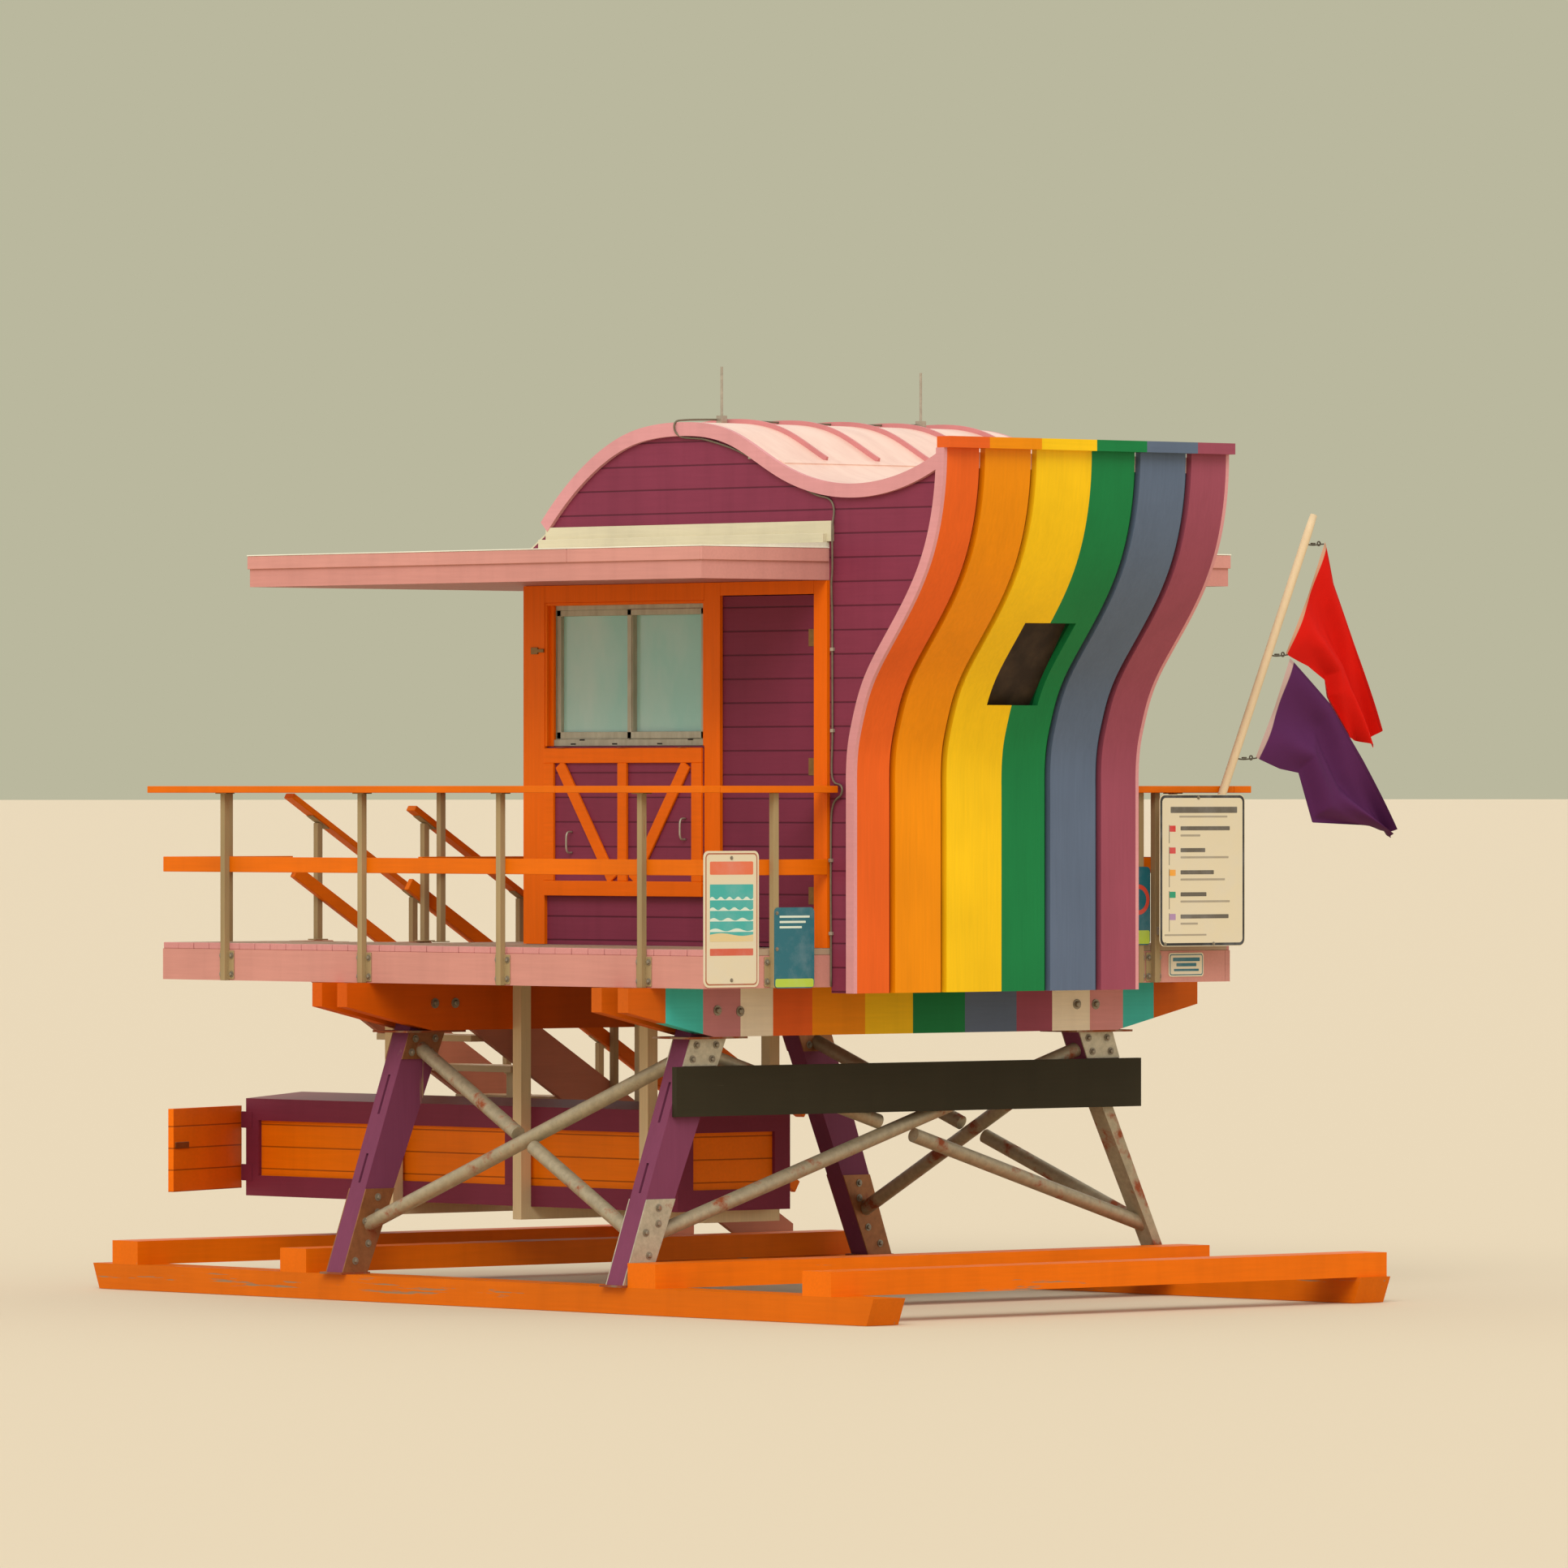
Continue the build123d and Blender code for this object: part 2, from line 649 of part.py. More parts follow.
def make_far_gable():
    return [mirrored(upper(side_plate()))]


OCEAN_WINDOW = MIDDLE - WINDOW_WIDTH / 2


def make_ocean_wall():
    y0 = CABIN_NEAR + WALL
    y1 = CABIN_FAR - WALL
    region = under_roof(ROOF_THICK, y0, y1)
    lining = block(CABIN_START, CABIN_START + WALL, y0, y1, DECK_HEIGHT, ABOVE_ALL)
    head_depth = DECK_LENGTH + ROOF_LINE[0][0] - CABIN_START + WALL
    head_foot = DECK_HEIGHT + CANOPY_BOTTOM + WALL
    head = block(CABIN_START, CABIN_START + head_depth, y0, y1, head_foot, ABOVE_ALL)
    hole = block(CABIN_START - WALL, CABIN_START + 2 * WALL, OCEAN_WINDOW, OCEAN_WINDOW + WINDOW_WIDTH,
                 DECK_HEIGHT + WINDOW_SILL, DECK_HEIGHT + WINDOW_HEAD)
    return [(region & (lining + head)) - hole]


def porthole_hole():
    y0 = MIDDLE + PORTHOLE_ASIDE - PORTHOLE_WIDTH / 2
    y1 = y0 + PORTHOLE_WIDTH
    z0 = DECK_HEIGHT + PORTHOLE_SILL
    return block(DECK_LENGTH - WALL, FAR_AWAY, y0, y1, z0, DECK_HEIGHT + PORTHOLE_HEAD)


def make_land_wall():
    y0 = CABIN_NEAR + WALL
    y1 = CABIN_FAR - WALL
    shell = wall_band(STRIPE_THICK, STRIPE_THICK + WALL, y0, y1) & under_roof(ROOF_THICK, y0, y1)
    return [shell - porthole_hole()]


def stripe_edge(index):
    """Y of the near edge of a stripe, counted from the near side."""
    share = sum(STRIPE_WIDTHS[:index]) / sum(STRIPE_WIDTHS)
    return CABIN_NEAR + share * (CABIN_FAR - CABIN_NEAR)


def make_stripe(index):
    y0 = stripe_edge(index)
    y1 = stripe_edge(index + 1)
    last = index == len(STRIPE_NAMES) - 1
    if not last and STRIPE_NAMES[index] != GROOVELESS:
        y1 = y1 - GROOVE
    return [wall_band(0, STRIPE_THICK, y0, y1) - porthole_hole()]


def make_roof():
    sheet = roof_band(0, ROOF_THICK, CABIN_NEAR, CABIN_FAR)
    return [sheet & behind_wall(STRIPE_THICK, CABIN_NEAR, CABIN_FAR)]


def make_parapet_cap():
    front = DECK_LENGTH + WALL_CURVE[0][0] + CAP_OUT
    foot = DECK_HEIGHT + WALL_CURVE[0][1]
    y0 = CABIN_NEAR - EDGE_BOARD
    y1 = CABIN_FAR + EDGE_BOARD
    return [block(front - CAP_DEEP, front, y0, y1, foot, foot + CAP_HEIGHT)]


def make_edge_boards():
    y0 = CABIN_NEAR - EDGE_BOARD
    roof_edge = roof_band(0, ROOF_THICK, y0, CABIN_NEAR) & behind_wall(0, y0, CABIN_NEAR)
    wall_edge = wall_band(0, STRIPE_THICK + EDGE_BOARD, y0, CABIN_NEAR)
    return both_sides([roof_edge + wall_edge])


# Canopy and its flashing
def make_canopy_near():
    outline = ((0, CANOPY_BOTTOM), (CABIN_NEAR, CANOPY_BOTTOM),
               (CABIN_NEAR, CANOPY_EDGE_TOP + CANOPY_RISE), (0, CANOPY_EDGE_TOP))
    raised_outline = [(y, z + DECK_HEIGHT) for y, z in outline]
    return [slab_yz(raised_outline, CANOPY_START, CANOPY_END)]


def make_canopy_far():
    return [mirrored(make_canopy_near()[0])]


def make_canopy_ocean():
    outline = ((CANOPY_START, CANOPY_BOTTOM), (CABIN_START, CANOPY_BOTTOM),
               (CABIN_START, CANOPY_EDGE_TOP), (CANOPY_START, CANOPY_EDGE_TOP))
    raised_outline = [(x, z + DECK_HEIGHT) for x, z in outline]
    return [slab_xz(raised_outline, CABIN_NEAR, CABIN_FAR)]


def make_flashing():
    y0 = CABIN_NEAR - TRIM
    near = block(FLASHING_END - FLASHING_LENGTH, FLASHING_END, y0, CABIN_NEAR,
                 DECK_HEIGHT + FLASHING_FOOT, DECK_HEIGHT + FLASHING_TOP)
    return both_sides([near - roof_band(0, ROOF_THICK, y0, CABIN_NEAR)])


# Windows, trims, shutters and the door
def window_unit():
    """A two-pane sliding window, frame and glass, as it stands in the near wall."""
    y0 = CABIN_NEAR + WINDOW_SETBACK - WINDOW_FRAME_DEEP / 2
    y1 = y0 + WINDOW_FRAME_DEEP
    z0 = DECK_HEIGHT + WINDOW_SILL
    z1 = DECK_HEIGHT + WINDOW_HEAD
    middle = (WINDOW_START + WINDOW_END) / 2
    frame = block(WINDOW_START, WINDOW_END, y0, y1, z0, z1)
    panes = []
    for x0, x1 in ((WINDOW_START, middle + WINDOW_FRAME / 2), (middle - WINDOW_FRAME / 2, WINDOW_END)):
        left = x0 + WINDOW_FRAME
        right = x1 - WINDOW_FRAME
        frame = frame - block(left, right, y0, y1, z0 + WINDOW_FRAME, z1 - WINDOW_FRAME)
        pane_y = (y0 + y1) / 2
        panes.append(block(left, right, pane_y, pane_y + GLASS, z0 + WINDOW_FRAME, z1 - WINDOW_FRAME))
    return frame, panes


def to_ocean_side(shape):
    """A piece of the near window bay turned onto the ocean wall."""
    middle = (WINDOW_START + WINDOW_END) / 2
    centred = Pos(-middle, -CABIN_NEAR, 0) * shape
    return Pos(CABIN_START, MIDDLE, 0) * (Rot(0, 0, -90) * centred)


def make_window_frames():
    frame = window_unit()[0]
    return [frame, mirrored(frame), to_ocean_side(frame)]


def make_window_glass():
    panes = window_unit()[1]
    all_panes = both_sides(panes) + [to_ocean_side(pane) for pane in panes]
    depth = STRIPE_THICK + WALL - GLASS
    pane = wall_band(depth - GLASS, depth, CABIN_NEAR, CABIN_FAR) & porthole_hole()
    return all_panes + [pane]


def trim_board(x0, x1, z0, z1):
    return block(x0, x1, CABIN_NEAR - TRIM, CABIN_NEAR, DECK_HEIGHT + z0, DECK_HEIGHT + z1)


def make_wall_trims():
    head = CANOPY_BOTTOM - BUTT
    corner = trim_board(CABIN_START, WINDOW_START, BUTT, head)
    middle = trim_board(WINDOW_END, DOOR_START, BUTT, head)
    end = trim_board(DOOR_END, DOOR_END + END_BOARD, BUTT, head)
    window_head = trim_board(WINDOW_START + BUTT, WINDOW_END - BUTT, WINDOW_HEAD, head)
    door_head = trim_board(DOOR_START + BUTT, DOOR_END - BUTT, DOOR_HEAD, head)
    side = both_sides([corner, middle, end, window_head, door_head])
    window_left = trim_board(WINDOW_START - MIDDLE_BOARD, WINDOW_START, BUTT, head)
    front = [to_ocean_side(piece) for piece in (window_left, middle, window_head)]
    return side + front


def shutter():
    """The board shutter hanging open below the near window."""
    x0 = WINDOW_START + (WINDOW_WIDTH - SHUTTER_WIDTH) / 2
    y0 = CABIN_NEAR - SHUTTER_THICK
    z1 = DECK_HEIGHT + SHUTTER_TOP
    return block(x0, x0 + SHUTTER_WIDTH, y0, CABIN_NEAR, z1 - SHUTTER_HEIGHT, z1)


def make_shutters():
    piece = shutter()
    return [piece, mirrored(piece), to_ocean_side(piece)]


def make_cabin_door():
    x0 = DOOR_START + DOOR_GAP
    x1 = DOOR_END - DOOR_GAP
    y1 = CABIN_NEAR + DOOR_THICK
    return [block(x0, x1, CABIN_NEAR, y1, DECK_HEIGHT + DOOR_GAP, GABLE_FOOT - DOOR_GAP)]


DOOR_PIN_X = DOOR_END - HINGE_RADIUS
DOOR_PIN_Y = CABIN_NEAR - HINGE_RADIUS - HINGE_GAP


def make_door_hinges():
    """Hinge barrels against the side of the end trim board."""
    barrels = []
    for z in HINGE_HEIGHTS:
        place = Pos(DOOR_PIN_X, DOOR_PIN_Y, DECK_HEIGHT + z)
        barrels.append(place * Cylinder(HINGE_RADIUS, HINGE_LENGTH))
    return barrels


# Railings
CAP_FOOT = DECK_HEIGHT + CAP_TOP - CAP_THICK
POST_FOOT = JOIST_FOOT


def rail_panel_x(x0, x1, cap0, cap1, posts):
    """A railing along X outside the near rim: cap, middle rail and posts as one."""
    middle = -POST / 2
    cap = block(cap0, cap1, middle - CAP_WIDTH / 2, middle + CAP_WIDTH / 2, CAP_FOOT, CAP_FOOT + CAP_THICK)
    mid_z = DECK_HEIGHT + MID_RAIL_FOOT
    panel = cap + block(x0, x1, 0, BOARD, mid_z, mid_z + MID_RAIL_DEEP)
    for x in posts:
        panel = panel + block(x - POST / 2, x + POST / 2, -POST, 0, POST_FOOT, CAP_FOOT)
    return panel


def rail_panel_y(face, side, y0, y1, posts):
    """A railing along Y: face is the rim's outer face, side is -1 for ocean and 1 for land."""
    middle = face + side * POST / 2
    cap = block(middle - CAP_WIDTH / 2, middle + CAP_WIDTH / 2, y0, y1, CAP_FOOT, CAP_FOOT + CAP_THICK)
    mid_z = DECK_HEIGHT + MID_RAIL_FOOT
    inner = sorted((face, face - side * BOARD))
    outer = sorted((face, face + side * POST))
    panel = cap + block(inner[0], inner[1], y0, y1, mid_z, mid_z + MID_RAIL_DEEP)
    for y in posts:
        panel = panel + block(outer[0], outer[1], y - POST / 2, y + POST / 2, POST_FOOT, CAP_FOOT)
    return panel


NEAR_POSTS = [x * DECK_LENGTH / POST_DECK for x in POST_INS]
LAND_CAP_END = DECK_LENGTH + POST / 2 + CAP_WIDTH / 2
INNER_Y = -POST / 2 + CAP_WIDTH / 2


def make_near_railing():
    return [rail_panel_x(0, DECK_LENGTH, -CAP_OVERHANG, LAND_CAP_END, NEAR_POSTS)]


def make_far_railing():
    start = STAIRWELL + POST
    posts = [x for x in NEAR_POSTS if x > start]
    panel = rail_panel_x(start, DECK_LENGTH, start, LAND_CAP_END, posts)
    return [mirrored(panel)]


def make_end_railings():
    start = INNER_Y + BUTT
    end = WALKWAY - EDGE_BOARD - BUTT
    near_land = rail_panel_y(DECK_LENGTH, 1, start, end, (LAND_POST,))
    far_land = rail_panel_y(DECK_LENGTH, 1, DECK_WIDTH - end, DECK_WIDTH - start, LAND_FAR_POSTS)
    ocean = rail_panel_y(0, -1, start, WALKWAY, (OCEAN_POST,))
    return [near_land, far_land, ocean]


def make_guard_railing():
    """The railing on the deck along the land side of the stairwell."""
    y0 = WALKWAY + BUTT
    y1 = DECK_WIDTH - INNER_Y - BUTT
    middle = STAIRWELL + POST / 2
    cap = block(middle - CAP_WIDTH / 2, middle + CAP_WIDTH / 2, y0, y1, CAP_FOOT, CAP_FOOT + CAP_THICK)
    mid_x = STAIRWELL + POST
    mid_z = DECK_HEIGHT + MID_RAIL_FOOT
    panel = cap + block(mid_x, mid_x + BOARD, y0, y1, mid_z, mid_z + MID_RAIL_DEEP)
    first = WALKWAY + GUARD_FIRST_POST
    pitch = (DECK_WIDTH - GUARD_END_POST - first) / (GUARD_POST_COUNT - 1)
    for k in range(GUARD_POST_COUNT):
        y = first + k * pitch
        panel = panel + block(STAIRWELL, mid_x, y - POST / 2, y + POST / 2, DECK_HEIGHT, CAP_FOOT)
    return [panel]


# Stair
STRINGER_FOOT = SKID_TOP
PITCH = RISE / GOING


def pitch_line(y):
    """Height of the line through the tread edges at a place along the stair."""
    return DECK_HEIGHT - PITCH * (y - WALKWAY)


STAIR_END = DECK_WIDTH + SKID_OUT - SKID_WIDTH + STRINGER_SEAT
STRINGER_DROP = STRINGER_DEPTH * math.sqrt(1 + PITCH ** 2)


def stringer_top(y):
    """Height of a stringer's upper edge at a place along the stair."""
    return pitch_line(y) + STRINGER_RISE


def make_stringers():
    top = stringer_top(WALKWAY)
    foot_y = WALKWAY + (top - STRINGER_DROP - STRINGER_FOOT) / PITCH
    level_y = WALKWAY + STRINGER_RISE / PITCH
    outline = ((WALKWAY, DECK_HEIGHT), (level_y, DECK_HEIGHT), (STAIR_END, stringer_top(STAIR_END)),
               (STAIR_END, STRINGER_FOOT), (foot_y, STRINGER_FOOT), (WALKWAY, top - STRINGER_DROP))
    return [slab_yz(outline, 0, BOARD), slab_yz(outline, STAIR_WIDTH - BOARD, STAIR_WIDTH)]


def make_treads():
    treads = []
    for k in range(1, STEPS + 1):
        top = DECK_HEIGHT - k * RISE
        y0 = WALKWAY + (k - 1) * GOING + GOING - TREAD_DEPTH
        treads.append(block(BOARD, STAIR_WIDTH - BOARD, y0, y0 + TREAD_DEPTH, top - BOARD, top))
    return treads


def sloped_rail(x0, x1, height, deep, y0, y1):
    """A rail parallel to the stair, its top at a height above the pitch line."""
    outline = ((y0, pitch_line(y0) + height), (y1, pitch_line(y1) + height),
               (y1, pitch_line(y1) + height - deep), (y0, pitch_line(y0) + height - deep))
    return slab_yz(outline, x0, x1)


def stair_rail(post0, mid0, start):
    """Handrail, middle rail and posts in one upright plane beside the stair."""
    post1 = post0 + POST
    cap0 = post0 + (POST - STAIR_CAP) / 2
    y0 = WALKWAY + start
    y1 = DECK_WIDTH + SKID_OUT
    panel = sloped_rail(cap0, cap0 + STAIR_CAP, HANDRAIL_HEIGHT, CAP_THICK, y0, y1)
    panel = panel + sloped_rail(mid0, mid0 + BOARD, STAIR_MID_RAIL, MID_RAIL_DEEP, y0, y1)
    for k in range(STAIR_POST_COUNT):
        near = WALKWAY + STAIR_FIRST_POST + k * STAIR_POST_PITCH
        far = near + POST
        outline = ((near, stringer_top(near) - STRINGER_DROP), (far, stringer_top(far) - STRINGER_DROP),
                   (far, pitch_line(far) + HANDRAIL_HEIGHT - CAP_THICK / 2),
                   (near, pitch_line(near) + HANDRAIL_HEIGHT - CAP_THICK / 2))
        panel = panel + slab_yz(outline, post0, post1)
    return panel


def make_stair_rails():
    """Posts on the outer faces of the stringers, middle rails above the stringers."""
    ocean = stair_rail(-POST, 0, OCEAN_RAIL_START)
    land = stair_rail(STAIR_WIDTH, STAIR_WIDTH - BOARD, LAND_RAIL_START)
    return [ocean, land]


# Locker
def locker_z(height):
    """A height measured from the front edge of the locker's lid."""
    return DECK_HEIGHT + LOCKER_TOP + height


def locker_block(x0, x1, y0, y1, low, top):
    """A board of the locker between two heights measured from its lid's front edge."""
    return block(x0, x1, y0, y1, locker_z(low), locker_z(top))


LOCKER_END = LOCKER_START + LOCKER_LENGTH
LOCKER_BACK = LOCKER_FRONT + LOCKER_DEPTH


def make_locker_box():
    """The locker's boards: floor, ridged lid, back, and the frames of its front and land end."""
    inner_foot = LOCKER_WALL - LOCKER_HEIGHT
    back = LOCKER_BACK - LOCKER_WALL
    front = LOCKER_FRONT + LOCKER_WALL
    end = LOCKER_END - LOCKER_WALL
    rail_foot = LOCKER_RAIL - LOCKER_HEIGHT
    rail_head = -LOCKER_TOP_RAIL
    middle = (LOCKER_FRONT + LOCKER_BACK) / 2
    floor = locker_block(LOCKER_START, LOCKER_END, LOCKER_FRONT, LOCKER_BACK, -LOCKER_HEIGHT, inner_foot)
    gable = ((LOCKER_FRONT, locker_z(-LOCKER_WALL)), (LOCKER_BACK, locker_z(-LOCKER_WALL)),
             (LOCKER_BACK, locker_z(0)), (middle, locker_z(LID_RIDGE)), (LOCKER_FRONT, locker_z(0)))
    lid = slab_yz(gable, LOCKER_START, LOCKER_END)
    back_board = locker_block(LOCKER_START, LOCKER_END, back, LOCKER_BACK, inner_foot, -LOCKER_WALL)
    low_rail = locker_block(LOCKER_START, LOCKER_END, LOCKER_FRONT, front, inner_foot, rail_foot)
    top_rail = locker_block(LOCKER_START, LOCKER_END, LOCKER_FRONT, front, rail_head, -LOCKER_WALL)
    stiles = [locker_block(x0, x1, LOCKER_FRONT, front, rail_foot, rail_head)
              for x0, x1 in ((LOCKER_START, LOCKER_START + LOCKER_FRAME), (LOCKER_END - LOCKER_FRAME, LOCKER_END))]
    end_rails = [locker_block(end, LOCKER_END, front, back, inner_foot, rail_foot),
                 locker_block(end, LOCKER_END, front, back, rail_head, -LOCKER_WALL)]
    end_stiles = [locker_block(end, LOCKER_END, y0, y1, rail_foot, rail_head)
                  for y0, y1 in ((front, LOCKER_FRONT + LOCKER_FRAME), (LOCKER_BACK - LOCKER_FRAME, back))]
    return [floor, lid, back_board, low_rail, top_rail] + stiles + end_rails + end_stiles


def make_locker_panel():
    """The boarded panels inside the frames of the front and of the land end."""
    low = LOCKER_RAIL - LOCKER_HEIGHT
    front = locker_block(LOCKER_START + LOCKER_FRAME, LOCKER_END - LOCKER_FRAME,
                         LOCKER_FRONT + LOCKER_PANEL_INSET, LOCKER_FRONT + LOCKER_WALL, low, -LOCKER_TOP_RAIL)
    end = locker_block(LOCKER_END - LOCKER_WALL, LOCKER_END - LOCKER_PANEL_INSET,
                       LOCKER_FRONT + LOCKER_FRAME, LOCKER_BACK - LOCKER_FRAME, low, -LOCKER_TOP_RAIL)
    return [front, end]


HATCH_BACK = LOCKER_START - HATCH_GAP
HATCH_PIN_X = HATCH_BACK - HATCH_THICK
HATCH_PIN = Axis((HATCH_PIN_X, LOCKER_FRONT, 0), (0, 0, 1))


def make_locker_hatch():
    """The end hatch, swung open about its upright pins at the front corner."""
    y0 = LOCKER_FRONT + BUTT / 2
    closed = locker_block(HATCH_PIN_X, HATCH_BACK, y0, LOCKER_BACK,
                          HATCH_MARGIN - LOCKER_HEIGHT, -HATCH_MARGIN)
    for drop in HATCH_HINGE_DROPS:
        notch = Cylinder(HINGE_RADIUS + HINGE_GAP, HINGE_LENGTH + 2 * BUTT)
        closed = closed - Pos(HATCH_PIN_X, LOCKER_FRONT, locker_z(-drop)) * notch
    return [closed.rotate(HATCH_PIN, HATCH_OPEN)]


def make_hatch_hinges():
    """Barrels on the hatch's pins, each with a leaf on the locker's front."""
    hinges = []
    half = HINGE_LENGTH / 2
    for drop in HATCH_HINGE_DROPS:
        z = locker_z(-drop)
        barrel = Pos(HATCH_PIN_X, LOCKER_FRONT, z) * Cylinder(HINGE_RADIUS, HINGE_LENGTH)
        y0 = LOCKER_FRONT - HATCH_LEAF_THICK
        leaf = block(HATCH_PIN_X, LOCKER_START + HATCH_LEAF, y0, LOCKER_FRONT, z - half, z + half)
        hinges.append(barrel + leaf)
    return hinges


def hanger(x, front_top, back_top):
    """A sling of two posts with an arm under the locker."""
    x0 = x - HANGER / 2
    x1 = x + HANGER / 2
    under = locker_z(-LOCKER_HEIGHT - HANGER)
    floor = locker_z(-LOCKER_HEIGHT)
    front = block(x0, x1, LOCKER_FRONT - HANGER, LOCKER_FRONT, under, front_top)
    back = block(x0, x1, LOCKER_BACK, LOCKER_BACK + HANGER, under, back_top)
    arm = block(x0, x1, LOCKER_FRONT, LOCKER_BACK, under, floor)
    return [front, arm, back]


def make_locker_hangers():
    """Three slings: under the stair's treads, on the ocean beams, and under the joists."""
    first, second, third = HANGER_CENTRES
    under_stair = hanger(first, DECK_HEIGHT - RISE - BOARD, DECK_HEIGHT - 4 * RISE - BOARD)
    at_beam = hanger(second, JOIST_FOOT, JOIST_FOOT)
    at_joists = hanger(third, DECK_HEIGHT - BOARD, JOIST_FOOT)
    return under_stair + at_beam + at_joists


# Boards, signs, pole and flags
def make_name_board():
    x0 = LEG_LAND + LEG_THICK
    y0 = (DECK_WIDTH - NAME_BOARD_LENGTH) / 2
    top = DECK_HEIGHT + NAME_BOARD_TOP
    return [block(x0, x0 + BOARD, y0, y0 + NAME_BOARD_LENGTH, top - NAME_BOARD_HEIGHT, top)]


POLE_X = LAND_CAP_END + POLE_RADIUS
RIM_FACE = DECK_LENGTH
POST_FACE = DECK_LENGTH + POST
POLE_FACE = POLE_X + POLE_RADIUS
# Face the sign hangs on, then its Y range and its height range above the deck
SIGNS = {
    "tall_sign": (RIM_FACE, 0, 418, -215, 560),
    "near_notice": (POST_FACE, 502, 806, -224, 237),
    "far_notice": (POST_FACE, DECK_WIDTH - 942, DECK_WIDTH - 690, 0, 457),
    "duty_plate": (RIM_FACE, DECK_WIDTH - 502, DECK_WIDTH - 220, -190, -50),
    "flag_board": (POLE_FACE, DECK_WIDTH - 709, DECK_WIDTH - 18, -10, 880),
}


def make_signs():
    boards = []
    for x, y0, y1, z0, z1 in SIGNS.values():
        boards.append(block(x, x + SIGN_THICK, y0, y1, DECK_HEIGHT + z0, DECK_HEIGHT + z1))
    return boards


POLE_DIRECTION = Vector(0, POLE_TOP[0] - POLE_FOOT[0], POLE_TOP[1] - POLE_FOOT[1]).normalized()


def pole_middle(z):
    """Y of the pole's middle at a height above the deck."""
    return DECK_WIDTH + POLE_FOOT[0] + (z - POLE_FOOT[1]) * POLE_DIRECTION.Y / POLE_DIRECTION.Z


def make_flagpole():
    """The leaning pole with the strap of its foot on the far railing post and the hooks of the flags."""
    foot = Vector(POLE_X, DECK_WIDTH + POLE_FOOT[0], DECK_HEIGHT + POLE_FOOT[1])
    top = Vector(POLE_X, DECK_WIDTH + POLE_TOP[0], DECK_HEIGHT + POLE_TOP[1])
    plane = Plane(origin=foot, z_dir=POLE_DIRECTION)
    pole = extrude(plane * Circle(POLE_RADIUS), amount=(top - foot).length)
    y = pole_middle(POLE_STRAP)
    z = DECK_HEIGHT + POLE_STRAP
    half = POLE_RADIUS
    pole = pole + block(POST_FACE, POLE_X, DECK_WIDTH - POLE_STRAP_IN, y + half, z - half, z + half)
    for corner, flag_z in FLAG_HOOKS:
        flag_y = DECK_WIDTH + corner
        z = DECK_HEIGHT + flag_z
        hook = Pos(POLE_X, (pole_middle(flag_z) + flag_y) / 2, z)
        length = flag_y - pole_middle(flag_z) + HOOK_REACH
        pole = pole + hook * Rot(90, 0, 0) * Cylinder(HOOK_RADIUS, length)
    return [pole]


def make_flag(outline):
    points = [(DECK_WIDTH + y, DECK_HEIGHT + z) for y, z in outline]
    cloth = slab_yz(points, POLE_X - FLAG_THICK / 2, POLE_X + FLAG_THICK / 2)
    return [cloth - make_flagpole()[0]]


def crest_place():
    """The roof's highest place: X and height."""
    highest = max((ROOF_CURVE @ (k / 100) for k in range(101)), key=lambda point: point.Z)
    return highest.X, highest.Z


def make_lightning_rods():
    x, z = crest_place()
    rods = []
    for y in (MIDDLE - ROD_SPACING / 2, MIDDLE + ROD_SPACING / 2):
        base = Pos(x, y, z + ROD_LIFT + ROD_BASE / 2) * Box(ROD_BASE, ROD_BASE, ROD_BASE)
        rod = Pos(x, y, z + ROD_LIFT + ROD_HEIGHT / 2) * Cylinder(ROD_RADIUS, ROD_HEIGHT)
        rods.append(base + rod)
    return rods


NODES = {
    "skids": make_skids(),
    "cross_timbers": make_cross_timbers(),
    "legs": make_legs(),
    "steel_leg_post": make_steel_post(),
    "foot_plates": make_foot_plates(),
    "leg_brackets": make_leg_brackets(),
    "head_plates": make_head_plates(),
    "side_braces": make_side_braces(),
    "land_braces": make_land_braces(),
    "beams_ocean": make_beams(OCEAN_PAIR),
    "beams_land": make_beams(LAND_PAIR),
    "joists": make_joists(),
    "rim_boards": make_rim_boards(),
    "deck_boards": make_deck_boards(),
    "cabin_floor": make_cabin_floor(),
    "near_window_bay": make_near_window_bay(),
    "near_land_strip": make_near_land_strip(),
    "near_gable": make_near_gable(),
    "far_wall": make_far_wall(),
    "far_gable": make_far_gable(),
    "ocean_wall": make_ocean_wall(),
    "land_wall": make_land_wall(),
    "roof": make_roof(),
    "parapet_cap": make_parapet_cap(),
    "edge_boards": make_edge_boards(),
    "canopy_near": make_canopy_near(),
    "canopy_far": make_canopy_far(),
    "canopy_ocean": make_canopy_ocean(),
    "canopy_flashing": make_flashing(),
    "window_frames": make_window_frames(),
    "window_glass": make_window_glass(),
    "wall_trims": make_wall_trims(),
    "window_shutters": make_shutters(),
    "cabin_door": make_cabin_door(),
    "door_hinges": make_door_hinges(),
    "near_railing": make_near_railing(),
    "far_railing": make_far_railing(),
    "end_railings": make_end_railings(),
    "guard_railing": make_guard_railing(),
    "stair_stringers": make_stringers(),
    "stair_treads": make_treads(),
    "stair_rails": make_stair_rails(),
    "locker_box": make_locker_box(),
    "locker_panel": make_locker_panel(),
    "locker_hatch": make_locker_hatch(),
    "hatch_hinges": make_hatch_hinges(),
    "locker_hangers": make_locker_hangers(),
    "name_board": make_name_board(),
    "signs": make_signs(),
    "flagpole": make_flagpole(),
    "red_flag": make_flag(RED_FLAG),
    "purple_flag": make_flag(PURPLE_FLAG),
    "lightning_rods": make_lightning_rods(),
}
for index, name in enumerate(STRIPE_NAMES):
    NODES["stripe_" + name] = make_stripe(index)

